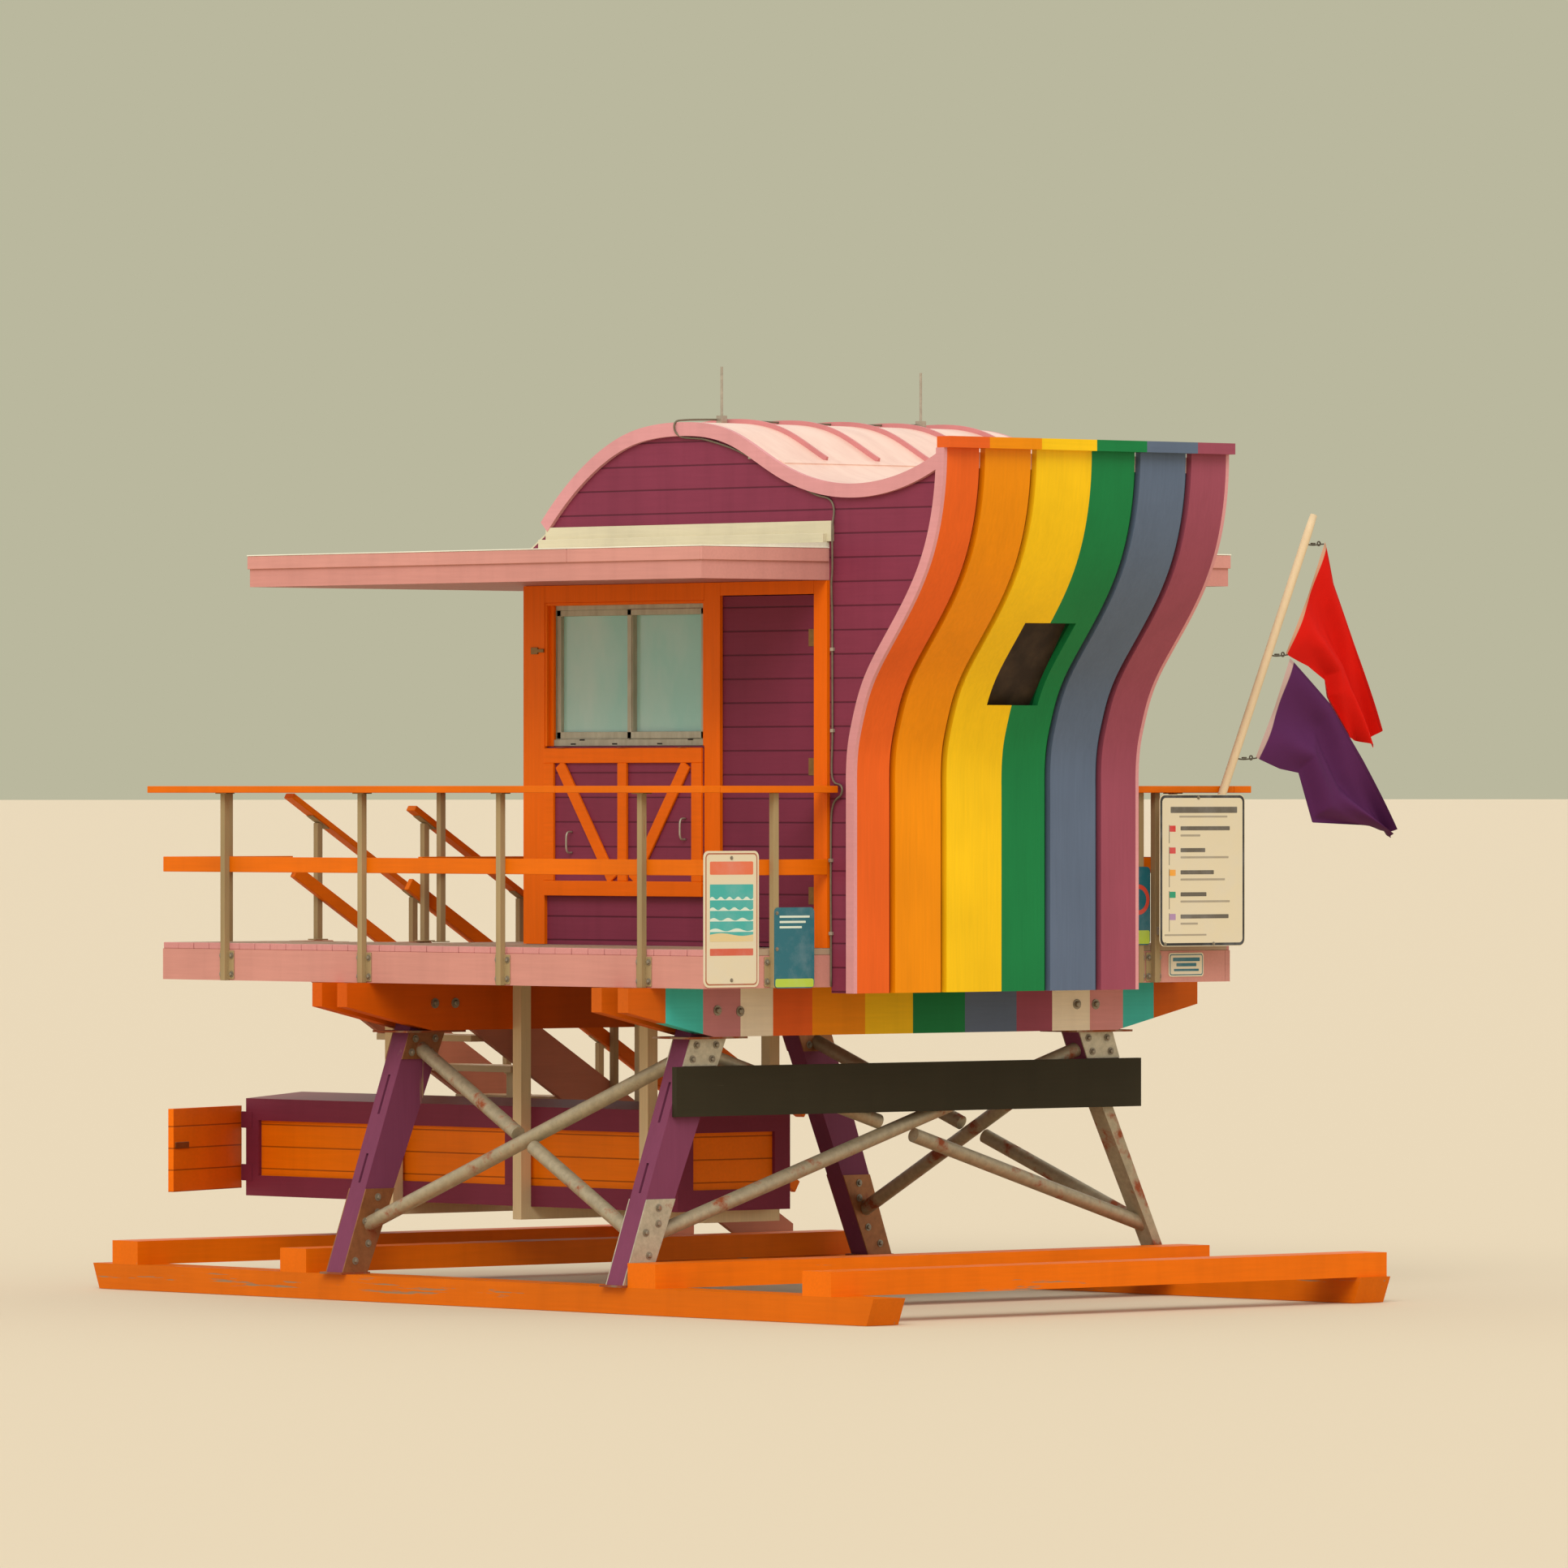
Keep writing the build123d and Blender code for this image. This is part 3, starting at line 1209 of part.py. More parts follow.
# The origin is the middle of the whole tower's plan, on the ground
everything = Compound(children=[Compound(pieces) for pieces in NODES.values()])
box = everything.bounding_box()
SHIFT = Vector(-(box.min.X + box.max.X) / 2, -(box.min.Y + box.max.Y) / 2, -box.min.Z)
print("shift", SHIFT.X, SHIFT.Y, SHIFT.Z)

os.makedirs("parts", exist_ok=True)
for name, pieces in NODES.items():
    export_step(Pos(SHIFT.X, SHIFT.Y, SHIFT.Z) * Compound(pieces), "parts/" + name + ".step")
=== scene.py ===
import math

import bpy
import numpy as np
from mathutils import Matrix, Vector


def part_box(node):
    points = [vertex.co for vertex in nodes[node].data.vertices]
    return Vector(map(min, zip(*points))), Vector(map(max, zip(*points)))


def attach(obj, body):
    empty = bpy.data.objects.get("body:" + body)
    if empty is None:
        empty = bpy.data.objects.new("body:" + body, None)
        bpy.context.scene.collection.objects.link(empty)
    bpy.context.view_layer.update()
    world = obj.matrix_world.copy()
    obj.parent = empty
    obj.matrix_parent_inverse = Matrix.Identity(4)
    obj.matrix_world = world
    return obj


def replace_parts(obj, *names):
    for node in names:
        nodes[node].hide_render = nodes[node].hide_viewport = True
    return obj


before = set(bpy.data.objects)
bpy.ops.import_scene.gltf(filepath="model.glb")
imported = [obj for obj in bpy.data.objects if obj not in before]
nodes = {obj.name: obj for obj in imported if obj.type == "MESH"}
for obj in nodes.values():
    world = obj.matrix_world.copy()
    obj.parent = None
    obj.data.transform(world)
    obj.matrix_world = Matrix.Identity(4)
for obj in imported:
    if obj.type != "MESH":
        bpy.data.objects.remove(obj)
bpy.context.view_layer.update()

# Setting out: every place on the tower is measured from the near ocean corner of the deck,
# x towards the land end, y towards the far side and z up from the walking surface.
deck_low, deck_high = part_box("deck_boards")
LENGTH, WIDTH = 4.877, 4.142


def at(x, y, z):
    """The row's place of a point measured from the deck's near ocean corner."""
    return np.array([deck_low.x + x, deck_low.y + y, deck_high.z + z])


def on(axis, value):
    """The row's coordinate along x, y or z of a measure from the deck's near ocean corner."""
    return at(value, value, value)["xyz".index(axis)]


# ---- Skids and cross timbers ----
# Two heavy timbers lie on the ground with four more across them, all in thick orange paint
# that has split along the grain and broken away to grey wood at the ends.


def tint(red, green, blue):
    """A screen colour of 0 to 255 as linear light: below 0.04045 a straight line, above it a 2.4 power."""
    part = np.array([red, green, blue]) / 255.0
    linear = np.where(part <= 0.04045, part / 12.92, ((part + 0.055) / 1.055) ** 2.4)
    return (*linear.tolist(), 1.0)


def put(tree, kind, *values, out=0, **settings):
    """A shader node of a kind with its settings; its sockets take the values in order, and None leaves one."""
    made = tree.nodes.new("ShaderNode" + kind)
    for name, value in settings.items():
        setattr(made, name, value)
    for socket, value in zip(made.inputs, values):
        if isinstance(value, bpy.types.NodeSocket):
            tree.links.new(value, socket)
        elif value is not None:
            socket.default_value = value
    return made.outputs[out]


def maths(tree, kind, *values):
    """A Math node of one kind on one or two values."""
    return put(tree, "Math", *values, operation=kind)


def axis_value(tree, vector, axis):
    """The part of a vector along x, y or z."""
    return put(tree, "SeparateXYZ", vector, out="xyz".index(axis))


def blend_colour(tree, share, first, second, kind="MIX"):
    """Two colours mixed by a share from 0 to 1, or multiplied together."""
    made = tree.nodes.new("ShaderNodeMix")
    made.data_type = "RGBA"
    made.blend_type = kind
    for socket, value in zip((made.inputs[0], made.inputs[6], made.inputs[7]), (share, first, second)):
        if isinstance(value, bpy.types.NodeSocket):
            tree.links.new(value, socket)
        else:
            socket.default_value = value
    return made.outputs[2]


def ramp(tree, value, low, high, first=0.0, last=1.0):
    """A straight ramp: value from low to high becomes first to last, held at both ends."""
    return put(tree, "MapRange", value, low, high, first, last)


def shaded(tree, colour, tone):
    """A colour made darker or lighter by a factor."""
    return blend_colour(tree, 1.0, colour, put(tree, "CombineXYZ", tone, tone, tone), "MULTIPLY")


def speckle(tree, place, stretch, size, detail=3.0, rough=0.55):
    """Noise over the piece, its place first multiplied by a stretch along x, y and z."""
    scaled = put(tree, "VectorMath", place, stretch, operation="MULTIPLY")
    return put(tree, "TexNoise", scaled, None, size, detail, rough)


def grain_stretch(along, fine):
    """Fine across the board and long along it."""
    slow = fine * 0.05
    return {"x": (slow, fine, fine), "y": (fine, slow, fine), "z": (fine, fine, slow)}[along]


def finish_of(name):
    """A new material, its tree and its shader."""
    material = bpy.data.materials.new(name)
    material.use_nodes = True
    return material, material.node_tree, material.node_tree.nodes["Principled BSDF"]


def relief(tree, shader, height, strength, distance):
    """The shader's normal tilted by a height, with a bump's strength and distance."""
    bump = put(tree, "Bump")
    bump.node.inputs["Strength"].default_value = strength
    bump.node.inputs["Distance"].default_value = distance
    tree.links.new(height, bump.node.inputs["Height"])
    tree.links.new(bump, shader.inputs["Normal"])


BARE_WOOD = tint(150, 122, 92)


def paint(name, colour, along="x", wear=0.2, seams=None, rough=0.5, under=BARE_WOOD, streaks=0.06):
    """Paint on sawn boards: a slow noise drifts the colour, fine lines follow the grain, and where patchy
    noise plus grain passes a limit set by wear the wood shows. seams = (axis, first place, pitch, width)
    darkens and sinks each joint and gives each board its own shade. colour may be a function of tree and
    place."""
    material, tree, shader = finish_of(name)
    place = put(tree, "TexCoord", out=3)
    base = colour(tree, place) if callable(colour) else colour
    fibres = speckle(tree, place, grain_stretch(along, 60), 1.0, 4.0)
    drift = speckle(tree, place, (1, 1, 1), 1.3, 2.0)
    shade = maths(tree, "MULTIPLY", ramp(tree, drift, 0.3, 0.7, 0.92, 1.05),
                  ramp(tree, fibres, 0.3, 0.75, 0.95, 1.03))
    falls = speckle(tree, place, (9, 9, 0.6), 1.0, 3.0)
    shade = maths(tree, "MULTIPLY", shade, ramp(tree, falls, 0.45, 0.75, 1.0, 1.0 - streaks))
    grain = height = maths(tree, "MULTIPLY", fibres, 0.35)
    if seams:
        axis, start, pitch, wide = seams
        along_axis = axis_value(tree, place, axis)
        count = maths(tree, "DIVIDE", maths(tree, "SUBTRACT", along_axis, start), pitch)
        rest = maths(tree, "FRACT", count)
        edge = maths(tree, "ABSOLUTE", maths(tree, "SUBTRACT", rest, 0.5))
        line = ramp(tree, edge, 0.5 - wide / pitch, 0.5 - 0.3 * wide / pitch)
        board = put(tree, "TexWhiteNoise", maths(tree, "FLOOR", count), noise_dimensions="1D")
        shade = maths(tree, "MULTIPLY", shade, ramp(tree, board, 0, 1, 0.93, 1.05))
        shade = maths(tree, "MULTIPLY", shade, ramp(tree, line, 0, 1, 1.0, 0.45))
        height = maths(tree, "SUBTRACT", height, line)
    toned = shaded(tree, base, shade)
    patches = maths(tree, "ADD", speckle(tree, place, grain_stretch(along, 9), 1.0, 7.0, 0.7), grain)
    limit = 1.02 - 0.5 * wear
    worn = ramp(tree, patches, limit, limit + 0.03)
    tree.links.new(blend_colour(tree, worn, toned, under), shader.inputs["Base Color"])
    tree.links.new(ramp(tree, worn, 0, 1, rough, 0.9), shader.inputs["Roughness"])
    shader.inputs["Specular IOR Level"].default_value = 0.1
    height = maths(tree, "SUBTRACT", height, maths(tree, "MULTIPLY", worn, 0.6))
    relief(tree, shader, height, 0.45, 0.003)
    return material


def dress(material, *names):
    """Gives CAD nodes a material in place of their plain one."""
    for name in names:
        nodes[name].data.materials.clear()
        nodes[name].data.materials.append(material)


ORANGE = tint(238, 106, 0)
dress(paint("skid_orange", tint(214, 104, 2), "x", 0.44), "skids")
dress(paint("timber_orange", tint(232, 110, 0), "y", 0.32), "cross_timbers")

# ---- Legs, plates and pipe braces ----
# Splayed timber legs in faded purple, the far land one carried on a steel post, bolted between
# galvanised plates; crossing galvanised pipes brace them, with rust at every weld and cut end.


def zone(tree, place, axis, limit, low_colour, high_colour):
    """One colour below a place on an axis and another above it."""
    value = axis_value(tree, place, axis)
    return blend_colour(tree, ramp(tree, value, limit - 0.001, limit + 0.001), low_colour, high_colour)


dress(paint("leg_purple", tint(124, 62, 88), "z", 0.30, rough=0.55), "legs")


def metal(name, colour, rust=0.3, rough=0.45, shine=0.55, rust_colour=tint(140, 66, 26)):
    """Zinc-coated steel: a mottled grey with rust where patchy noise passes a limit, duller where it rusts.
    colour may be a function of tree and place."""
    material, tree, shader = finish_of(name)
    place = put(tree, "TexCoord", out=3)
    colour = colour(tree, place) if callable(colour) else colour
    mottle = speckle(tree, place, (1, 1, 1), 22.0, 4.0, 0.7)
    patches = speckle(tree, place, (1, 1, 1), 5.5, 8.0, 0.65)
    tone = ramp(tree, mottle, 0.3, 0.7, 0.8, 1.15)
    zinc = shaded(tree, colour, tone)
    limit = 0.72 - 0.35 * rust
    rusty = ramp(tree, patches, limit, limit + 0.10)
    tree.links.new(blend_colour(tree, rusty, zinc, rust_colour), shader.inputs["Base Color"])
    tree.links.new(ramp(tree, rusty, 0, 1, rough, 0.9), shader.inputs["Roughness"])
    tree.links.new(ramp(tree, rusty, 0, 1, shine, 0.0), shader.inputs["Metallic"])
    relief(tree, shader, patches, 0.3, 0.002)
    return material


def bracket_colour(tree, place):
    """Pale zinc on the land legs' plates, old rust on the ocean legs' plates."""
    return zone(tree, place, "x", on("x", 3.0), tint(150, 98, 58), tint(186, 176, 150))


galvanised = metal("galvanised", tint(176, 168, 146), 0.30)
rusty_steel = metal("rusty_steel", tint(150, 120, 92), 0.85)
bolt_zinc = metal("bolt_zinc", tint(146, 136, 116), 0.35)
dress(metal("pipe_zinc", tint(168, 154, 124), 0.50, 0.5, 0.35), "side_braces", "land_braces", "steel_leg_post")
dress(metal("bracket_zinc", bracket_colour, 0.32), "leg_brackets")
dress(rusty_steel, "foot_plates", "head_plates")


def settle(name, points, faces, material, body="tower", smooth=False):
    """A mesh from points and faces, given its material and hung on a body."""
    mesh = bpy.data.meshes.new(name)
    mesh.from_pydata(np.asarray(points, float).tolist(), [], [tuple(int(k) for k in face) for face in faces])
    mesh.materials.append(material)
    if smooth:
        mesh.polygons.foreach_set("use_smooth", [True] * len(mesh.polygons))
    piece = bpy.data.objects.new(name, mesh)
    bpy.context.scene.collection.objects.link(piece)
    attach(piece, body)
    return piece


def skin(name, stacks, material, body="tower", smooth=False, foot=True):
    """A mesh from stacks of rings of points. Neighbouring rings of a stack are joined face by face, and its
    last ring, and with foot its first one, is closed."""
    faces, first = [], 0
    for rings in stacks:
        count, sides = rings.shape[:2]
        here = first + np.arange(sides)
        beside = np.roll(here, -1)
        for low in range(0, sides * (count - 1), sides):
            top = low + sides
            faces += np.stack([low + here, low + beside, top + beside, top + here], 1).tolist()
        if foot:
            faces.append(here[::-1].tolist())
        faces.append((sides * (count - 1) + here).tolist())
        first += sides * count
    points = np.concatenate([rings.reshape(-1, 3) for rings in stacks])
    return settle(name, points, faces, material, body, smooth)


def bolts(name, heads, size=0.012):
    """Bolt heads. Round each axis go 12 angles; the rings are a washer of radius 1.9 size, its rim up 0.3
    size, a six-sided head of radius size times cos 30 / cos(angle within its side), up to 1.1 size, and a
    smaller domed ring at 1.3 size, which a last face closes. Each head is (centre, outward direction)."""
    centres = np.array([head[0] for head in heads], float)
    outward = np.array([head[1] for head in heads], float)
    outward /= np.linalg.norm(outward, axis=1, keepdims=True)
    helper = np.where(np.abs(outward[:, 2:3]) > 0.9, [[1.0, 0, 0]], [[0, 0, 1.0]])
    side = np.cross(helper, outward)
    side /= np.linalg.norm(side, axis=1, keepdims=True)
    up = np.cross(outward, side)
    angle = np.arange(12) * np.pi / 6
    hexagon = np.cos(np.pi / 6) / np.cos((angle + np.pi / 6) % (np.pi / 3) - np.pi / 6) * 1.12
    round_one = np.ones(12)
    rings = np.array([1.9 * round_one, 1.9 * round_one, hexagon, hexagon, 0.7 * round_one]) * size
    lifts = np.array([0.0, 0.3, 0.3, 1.1, 1.3]) * size
    ring = (np.cos(angle)[None, None, :, None] * side[:, None, None, :]
            + np.sin(angle)[None, None, :, None] * up[:, None, None, :]) * rings[None, :, :, None]
    points = centres[:, None, None, :] + ring + lifts[None, :, None, None] * outward[:, None, None, :]
    return skin(name, points, bolt_zinc, foot=False)


LEG_FOOT_Z, LEG_RISE = -1.916, 1.409


def leg_y(z, share):
    """Y on a near leg at a height: its straight outer face plus a share of its width, which grows upwards."""
    rise = (z - LEG_FOOT_Z) / LEG_RISE
    return -0.134 + 0.514 * rise + share * (0.190 + 0.081 * rise)


leg_heads = []
for face_x, outward_x in ((4.342, 1), (4.186, -1), (1.842, 1), (1.686, -1)):
    for z, share in ((-0.555, 0.22), (-0.555, 0.78), (-0.635, 0.22), (-0.635, 0.78), (-1.48, 0.50),
                     (-1.57, 0.66), (-1.62, 0.30), (-1.75, 0.66), (-1.85, 0.36)):
        y = leg_y(z, share)
        leg_heads.append((at(face_x, y, z), (outward_x, 0, 0)))
        if z > -1 or face_x < 3:
            leg_heads.append((at(face_x, WIDTH - 0.070 - y, z), (outward_x, 0, 0)))
bolts("leg_bolts", leg_heads, 0.012)

# ---- Main beams ----
# Each pair of deep timbers clasps the legs and tapers at both ends. The ocean pair is orange;
# the outer land beam is painted in fifteen upright bands, and big bolts go through both pairs.


def bands(tree, place, axis, edges, colours):
    """Colours that change at given places along an axis, with sharp edges."""
    low, high = edges[0], edges[-1]
    value = ramp(tree, axis_value(tree, place, axis), low, high)
    stops = put(tree, "ValToRGB", value)
    made = stops.node.color_ramp
    made.interpolation = "CONSTANT"
    for k, (edge, colour) in enumerate(zip(edges, colours)):
        share = (edge - low) / (high - low)
        stop = made.elements[k] if k < 2 else made.elements.new(share)
        stop.position = share
        stop.color = colour
    return stops


STRIPE_COLOURS = {"red": tint(230, 98, 30), "orange": tint(238, 142, 4), "yellow": tint(246, 196, 20),
                  "green": tint(26, 124, 66), "blue": tint(95, 109, 130), "mauve": tint(154, 76, 92)}
TEAL = tint(70, 190, 175)
CREAM = tint(240, 226, 196)
PINK = tint(214, 146, 142)
BROWN_ORANGE = tint(200, 92, 10)
MAUVE_PINK = tint(196, 128, 128)
BAND_EDGES = (-0.172, 0.105, 0.388, 0.668, 0.93, 1.231, 1.635, 2.016, 2.433, 2.833, 3.126, 3.427, 3.69, 3.947,
              4.22, 4.40)
BAND_COLOURS = (BROWN_ORANGE, TEAL, MAUVE_PINK, CREAM, *STRIPE_COLOURS.values(), CREAM, PINK, TEAL,
                BROWN_ORANGE, BROWN_ORANGE)


def beam_colour(tree, place):
    """The outer land beam's bands; the inner beam is plain orange-brown."""
    edges = [on("y", y) for y in BAND_EDGES]
    banded = bands(tree, place, "y", edges, BAND_COLOURS)
    return zone(tree, place, "x", on("x", 4.25), BROWN_ORANGE, banded)


dress(paint("banded_beam", beam_colour, "y", 0.16), "beams_land")
dress(paint("beam_orange", tint(210, 88, 2), "y", 0.22), "beams_ocean")
beam_heads = [(at(4.423, y, z), (1, 0, 0)) for y, z in
              ((0.508, -0.356), (0.682, -0.363), (3.33, -0.353), (3.481, -0.355))]
for x, outward_x, z in ((1.605, -1, -0.346), (1.923, 1, -0.347), (4.105, -1, -0.347)):
    beam_heads += [(at(x, y, z), (outward_x, 0, 0)) for y in (0.501, 0.658, 3.414, 3.571)]
bolts("beam_bolts", beam_heads, 0.016)

# ---- Deck: joists, rims and planks ----
# Planks 140 mm wide lie across the joists with narrow gaps, and their cut ends show over the
# pink rim boards, painted with them; the walked-on wood is bare and grey.


def boards(name, runs, material, body="tower", chamfer=0.003):
    """Sawn boards. Each run is (start, end, width vector, depth vector). The eight corners of a rectangle
    with chamfered edges are carried straight from start to end in four rings; the first and last are drawn
    in by the chamfer and closed with a face."""
    starts, ends, wide, deep = (np.array([run[k] for run in runs], float) for k in range(4))
    along = ends - starts
    along /= np.linalg.norm(along, axis=1, keepdims=True)
    turned = np.einsum("ij,ij->i", np.cross(wide, deep), along) < 0
    deep[turned] *= -1
    half_w = np.linalg.norm(wide, axis=1)[:, None] / 2
    half_d = np.linalg.norm(deep, axis=1)[:, None] / 2
    unit_w, unit_d = wide / (2 * half_w), deep / (2 * half_d)
    side_w = np.array([1, 1, 1, -1, -1, -1, -1, 1.0])
    cut_w = np.array([0, 0, 1, 1, 0, 0, 1, 1.0])
    side_d = np.array([-1, 1, 1, 1, 1, -1, -1, -1.0])
    cut_d = np.array([1, 1, 0, 0, 1, 1, 0, 0.0])
    rings = []
    shift = along * chamfer
    for place, inward in ((starts, chamfer), (starts + shift, 0), (ends - shift, 0), (ends, chamfer)):
        w = side_w * (half_w - inward - cut_w * chamfer)
        d = side_d * (half_d - inward - cut_d * chamfer)
        rings.append(place[:, None, :] + w[..., None] * unit_w[:, None, :] + d[..., None] * unit_d[:, None, :])
    return skin(name, np.stack(rings, 1), material, body)


def cuboid(x0, x1, y0, y1, z0, z1):
    """A board run along its longest side, between two corners measured from the deck's corner."""
    low, high = at(x0, y0, z0), at(x1, y1, z1)
    size = high - low
    axis = int(np.argmax(size))
    others = [k for k in range(3) if k != axis]
    start, end = (low + high) / 2, (low + high) / 2
    start[axis], end[axis] = low[axis], high[axis]
    unit = np.eye(3)
    return start, end, unit[others[0]] * size[others[0]], unit[others[1]] * size[others[1]]


def plank_colour(tree, place):
    """Bare grey-brown wood, with pink paint on the cut ends over both rims."""
    aside = maths(tree, "ABSOLUTE", maths(tree, "SUBTRACT", axis_value(tree, place, "y"), on("y", WIDTH / 2)))
    edge = ramp(tree, aside, WIDTH / 2 - 0.03, WIDTH / 2 - 0.02)
    return blend_colour(tree, edge, tint(176, 152, 126), tint(208, 142, 136))


CABIN_OCEAN, CABIN_NEAR, CABIN_FAR = 2.195, 0.976, 3.166      # the faces of the cabin's walls
WELL_END = 1.16                                               # x where the stair's well ends
PLANKS = 34
pitch = LENGTH / PLANKS
chance = np.random.default_rng(7)
plank_runs = []
for k in range(PLANKS):
    x0, x1 = k * pitch + 0.002, (k + 1) * pitch - 0.003
    drop = float(chance.uniform(0, 0.002))
    plank_runs.append(cuboid(x0, x1, float(chance.uniform(0, 0.003)), 0.974, -0.038, -drop))
    if x0 > WELL_END:
        plank_runs.append(cuboid(x0, x1, 3.168, WIDTH - float(chance.uniform(0, 0.003)), -0.038, -drop))
    if WELL_END < x0 and x1 < CABIN_OCEAN + 0.005:
        plank_runs.append(cuboid(x0, x1, CABIN_NEAR, CABIN_FAR, -0.038, -drop))
plank_paint = paint("deck_plank", plank_colour, "y", 0.30, rough=0.75, under=tint(140, 124, 106))
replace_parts(boards("deck_planks", plank_runs, plank_paint), "deck_boards")
dress(paint("bare_joist", tint(168, 128, 92), "x", 0.25, rough=0.8), "joists")
dress(paint("rim_pink", tint(206, 143, 129), "x", 0.18), "rim_boards")
floor_seams = ("x", on("x", CABIN_OCEAN), 0.14, 0.004)
dress(paint("floor_grey", tint(130, 128, 120), "x", 0.1, floor_seams), "cabin_floor")

# ---- Cabin walls ----
# Horizontal boards 138 mm wide, purple, with a dark open line at each joint; the wall behind
# the coloured ribs is painted in the shadow tone of the rib beside it.
SIDING = tint(132, 54, 75)
siding_seams = ("z", on("z", 0.028), 0.138, 0.007)
siding = paint("siding_purple", SIDING, "x", 0.10, siding_seams, 0.5, streaks=0.10)
dress(siding, "near_window_bay", "near_land_strip", "near_gable", "far_wall", "far_gable")
dress(paint("siding_ocean", SIDING, "y", 0.10, siding_seams, 0.5, streaks=0.10), "ocean_wall")
STRIPE_EDGES = (CABIN_NEAR, 1.270, 1.670, 2.100, 2.485, 2.890, CABIN_FAR)


def groove_shade_colour(tree, place):
    """The colour of the stripe beside each groove, darkened to 0.38 as painted shade in the recess."""
    edges = [on("y", y) for y in STRIPE_EDGES]
    # each rib's colour at 0.38 of its strength: painted shade on the recessed wall between the ribs
    dark = [tuple(0.38 * c for c in colour[:3]) + (1.0,) for colour in STRIPE_COLOURS.values()]
    return bands(tree, place, "y", edges, dark)


dress(paint("groove_painted_shade", groove_shade_colour, "z", 0.05), "land_wall")

# ---- Striped ribs of the land wall ----
# Six wide boards follow the wall's curve from the parapet to below the deck. Each is in its own
# gloss colour, brushed up and down, with shadow grooves between them.
for colour_name, colour in STRIPE_COLOURS.items():
    stripe_paint = paint("stripe_" + colour_name, colour, "z", 0.05, rough=0.38, under=CREAM, streaks=0.05)
    dress(stripe_paint, "stripe_" + colour_name)


def cap_colour(tree, place):
    """The parapet cap carries on the colour of each rib below it."""
    edges = [on("y", y) for y in (0.90, 1.254, 1.657, 2.089, 2.479, 2.886, 3.25)]
    return bands(tree, place, "y", edges, list(STRIPE_COLOURS.values()))


dress(paint("cap_paint", cap_colour, "y", 0.08, rough=0.4), "parapet_cap")
dress(paint("edge_pink", tint(216, 150, 150), "x", 0.12), "edge_boards")

# ---- Roof ----
# Pale metal sheets bend over the wave of the roof, folded together in pink standing seams that
# stop at a cross flashing where the valley lies flat.


def two_tone(name, noise, span, first, last, rough, metallic=0.0, gloss=0.5, clear=0.0):
    """A surface that drifts from a first colour to a last one as noise goes through a span. noise is (stretch,
    size, detail, roughness); rough is one value, or the ramp (low, high, first, last) of that noise."""
    material, tree, shader = finish_of(name)
    drift = speckle(tree, put(tree, "TexCoord", out=3), *noise)
    tree.links.new(blend_colour(tree, ramp(tree, drift, *span), first, last), shader.inputs["Base Color"])
    if isinstance(rough, tuple):
        tree.links.new(ramp(tree, drift, *rough), shader.inputs["Roughness"])
    else:
        shader.inputs["Roughness"].default_value = rough
    shader.inputs["Metallic"].default_value = metallic
    shader.inputs["Specular IOR Level"].default_value = gloss
    shader.inputs["Transmission Weight"].default_value = clear
    return material


sheet_metal = two_tone("roof_sheet", ((1.0, 4.0, 1.0), 1.6, 5.0, 0.6), (0.42, 0.8), tint(238, 204, 184),
                       tint(222, 180, 162), 0.42, metallic=0.1)
dress(sheet_metal, "roof")
# the upper line of the roof: corners of its near edge with none higher by 45 mm within 70 mm along x
corner = np.array([v.co for v in nodes["roof"].data.vertices])
near_edge = corner[np.abs(corner[:, 1] - corner[:, 1].min()) < 1e-4][:, [0, 2]]
near_edge = near_edge[np.argsort(near_edge[:, 0])]
close = np.abs(near_edge[:, None, 0] - near_edge[None, :, 0]) < 0.07
covered = (close & (near_edge[None, :, 1] > near_edge[:, None, 1] + 0.045)).any(1)
ROOF_X, ROOF_Z = near_edge[~covered].T


def roof_line(x0, x1, count, lift=0.0):
    """Points along the roof's upper face from x0 to x1, raised square to it by a lift."""
    x = np.linspace(x0, x1, count)
    z = np.interp(x, ROOF_X, ROOF_Z)
    slope = np.gradient(z, x)
    length = np.sqrt(1 + slope ** 2)
    return np.stack([x - lift * slope / length, z + lift / length], 1)


def roof_strip(name, x0, x1, y0, y1, lift, material, top_in=0.0):
    """A strip that follows the roof: at each of 80 places the rectangle from y0 to y1 and from 4 mm inside
    the roof up to the lift, its top drawn in, is set square to the curve; both ends are closed."""
    low = roof_line(x0, x1, 80, -0.004)
    top = roof_line(x0, x1, 80, lift)
    corner_lines = [np.stack([line[:, 0], np.full(80, y), line[:, 1]], 1)
                    for y, line in ((y0, low), (y1, low), (y1 - top_in, top), (y0 + top_in, top))]
    return skin(name, [np.stack(corner_lines, 1)], material)


seam_pink = paint("seam_pink", tint(206, 132, 130), "x", 0.05, rough=0.4)
for k, seam_y in enumerate((1.35, 1.755, 2.16, 2.565, 2.97)):
    y = on("y", seam_y)
    roof_strip("roof_seam_%d" % (k + 1), on("x", 2.40), on("x", 4.42), y - 0.011, y + 0.011, 0.026,
               seam_pink, 0.004)
roof_strip("valley_flashing", on("x", 4.42), on("x", 4.47), on("y", 0.98), on("y", 3.162), 0.006,
           sheet_metal, 0.002)

# ---- Canopy ----
# A flat roof on three sides, pink fascia of two boards, the upper one standing proud, a white
# membrane turned over the top edge and a stepped white flashing against the wall.


def canopy_soffit_shade_colour(tree, place):
    """Pink on the sides; where the face looks up or stands above the edge it is white membrane, and where it
    looks down a darker pink, painted shade of the soffit."""
    facing = axis_value(tree, put(tree, "NewGeometry", out=1), "z")
    height = axis_value(tree, place, "z")
    above = ramp(tree, height, on("z", 2.2925), on("z", 2.2935))
    turned = maths(tree, "MAXIMUM", ramp(tree, facing, 0.5, 0.6), above)
    side = blend_colour(tree, turned, tint(207, 143, 132), tint(228, 222, 200))
    # the darker pink on faces looking down is painted shade under the canopy
    return blend_colour(tree, ramp(tree, facing, -0.6, -0.5), tint(176, 112, 108), side)


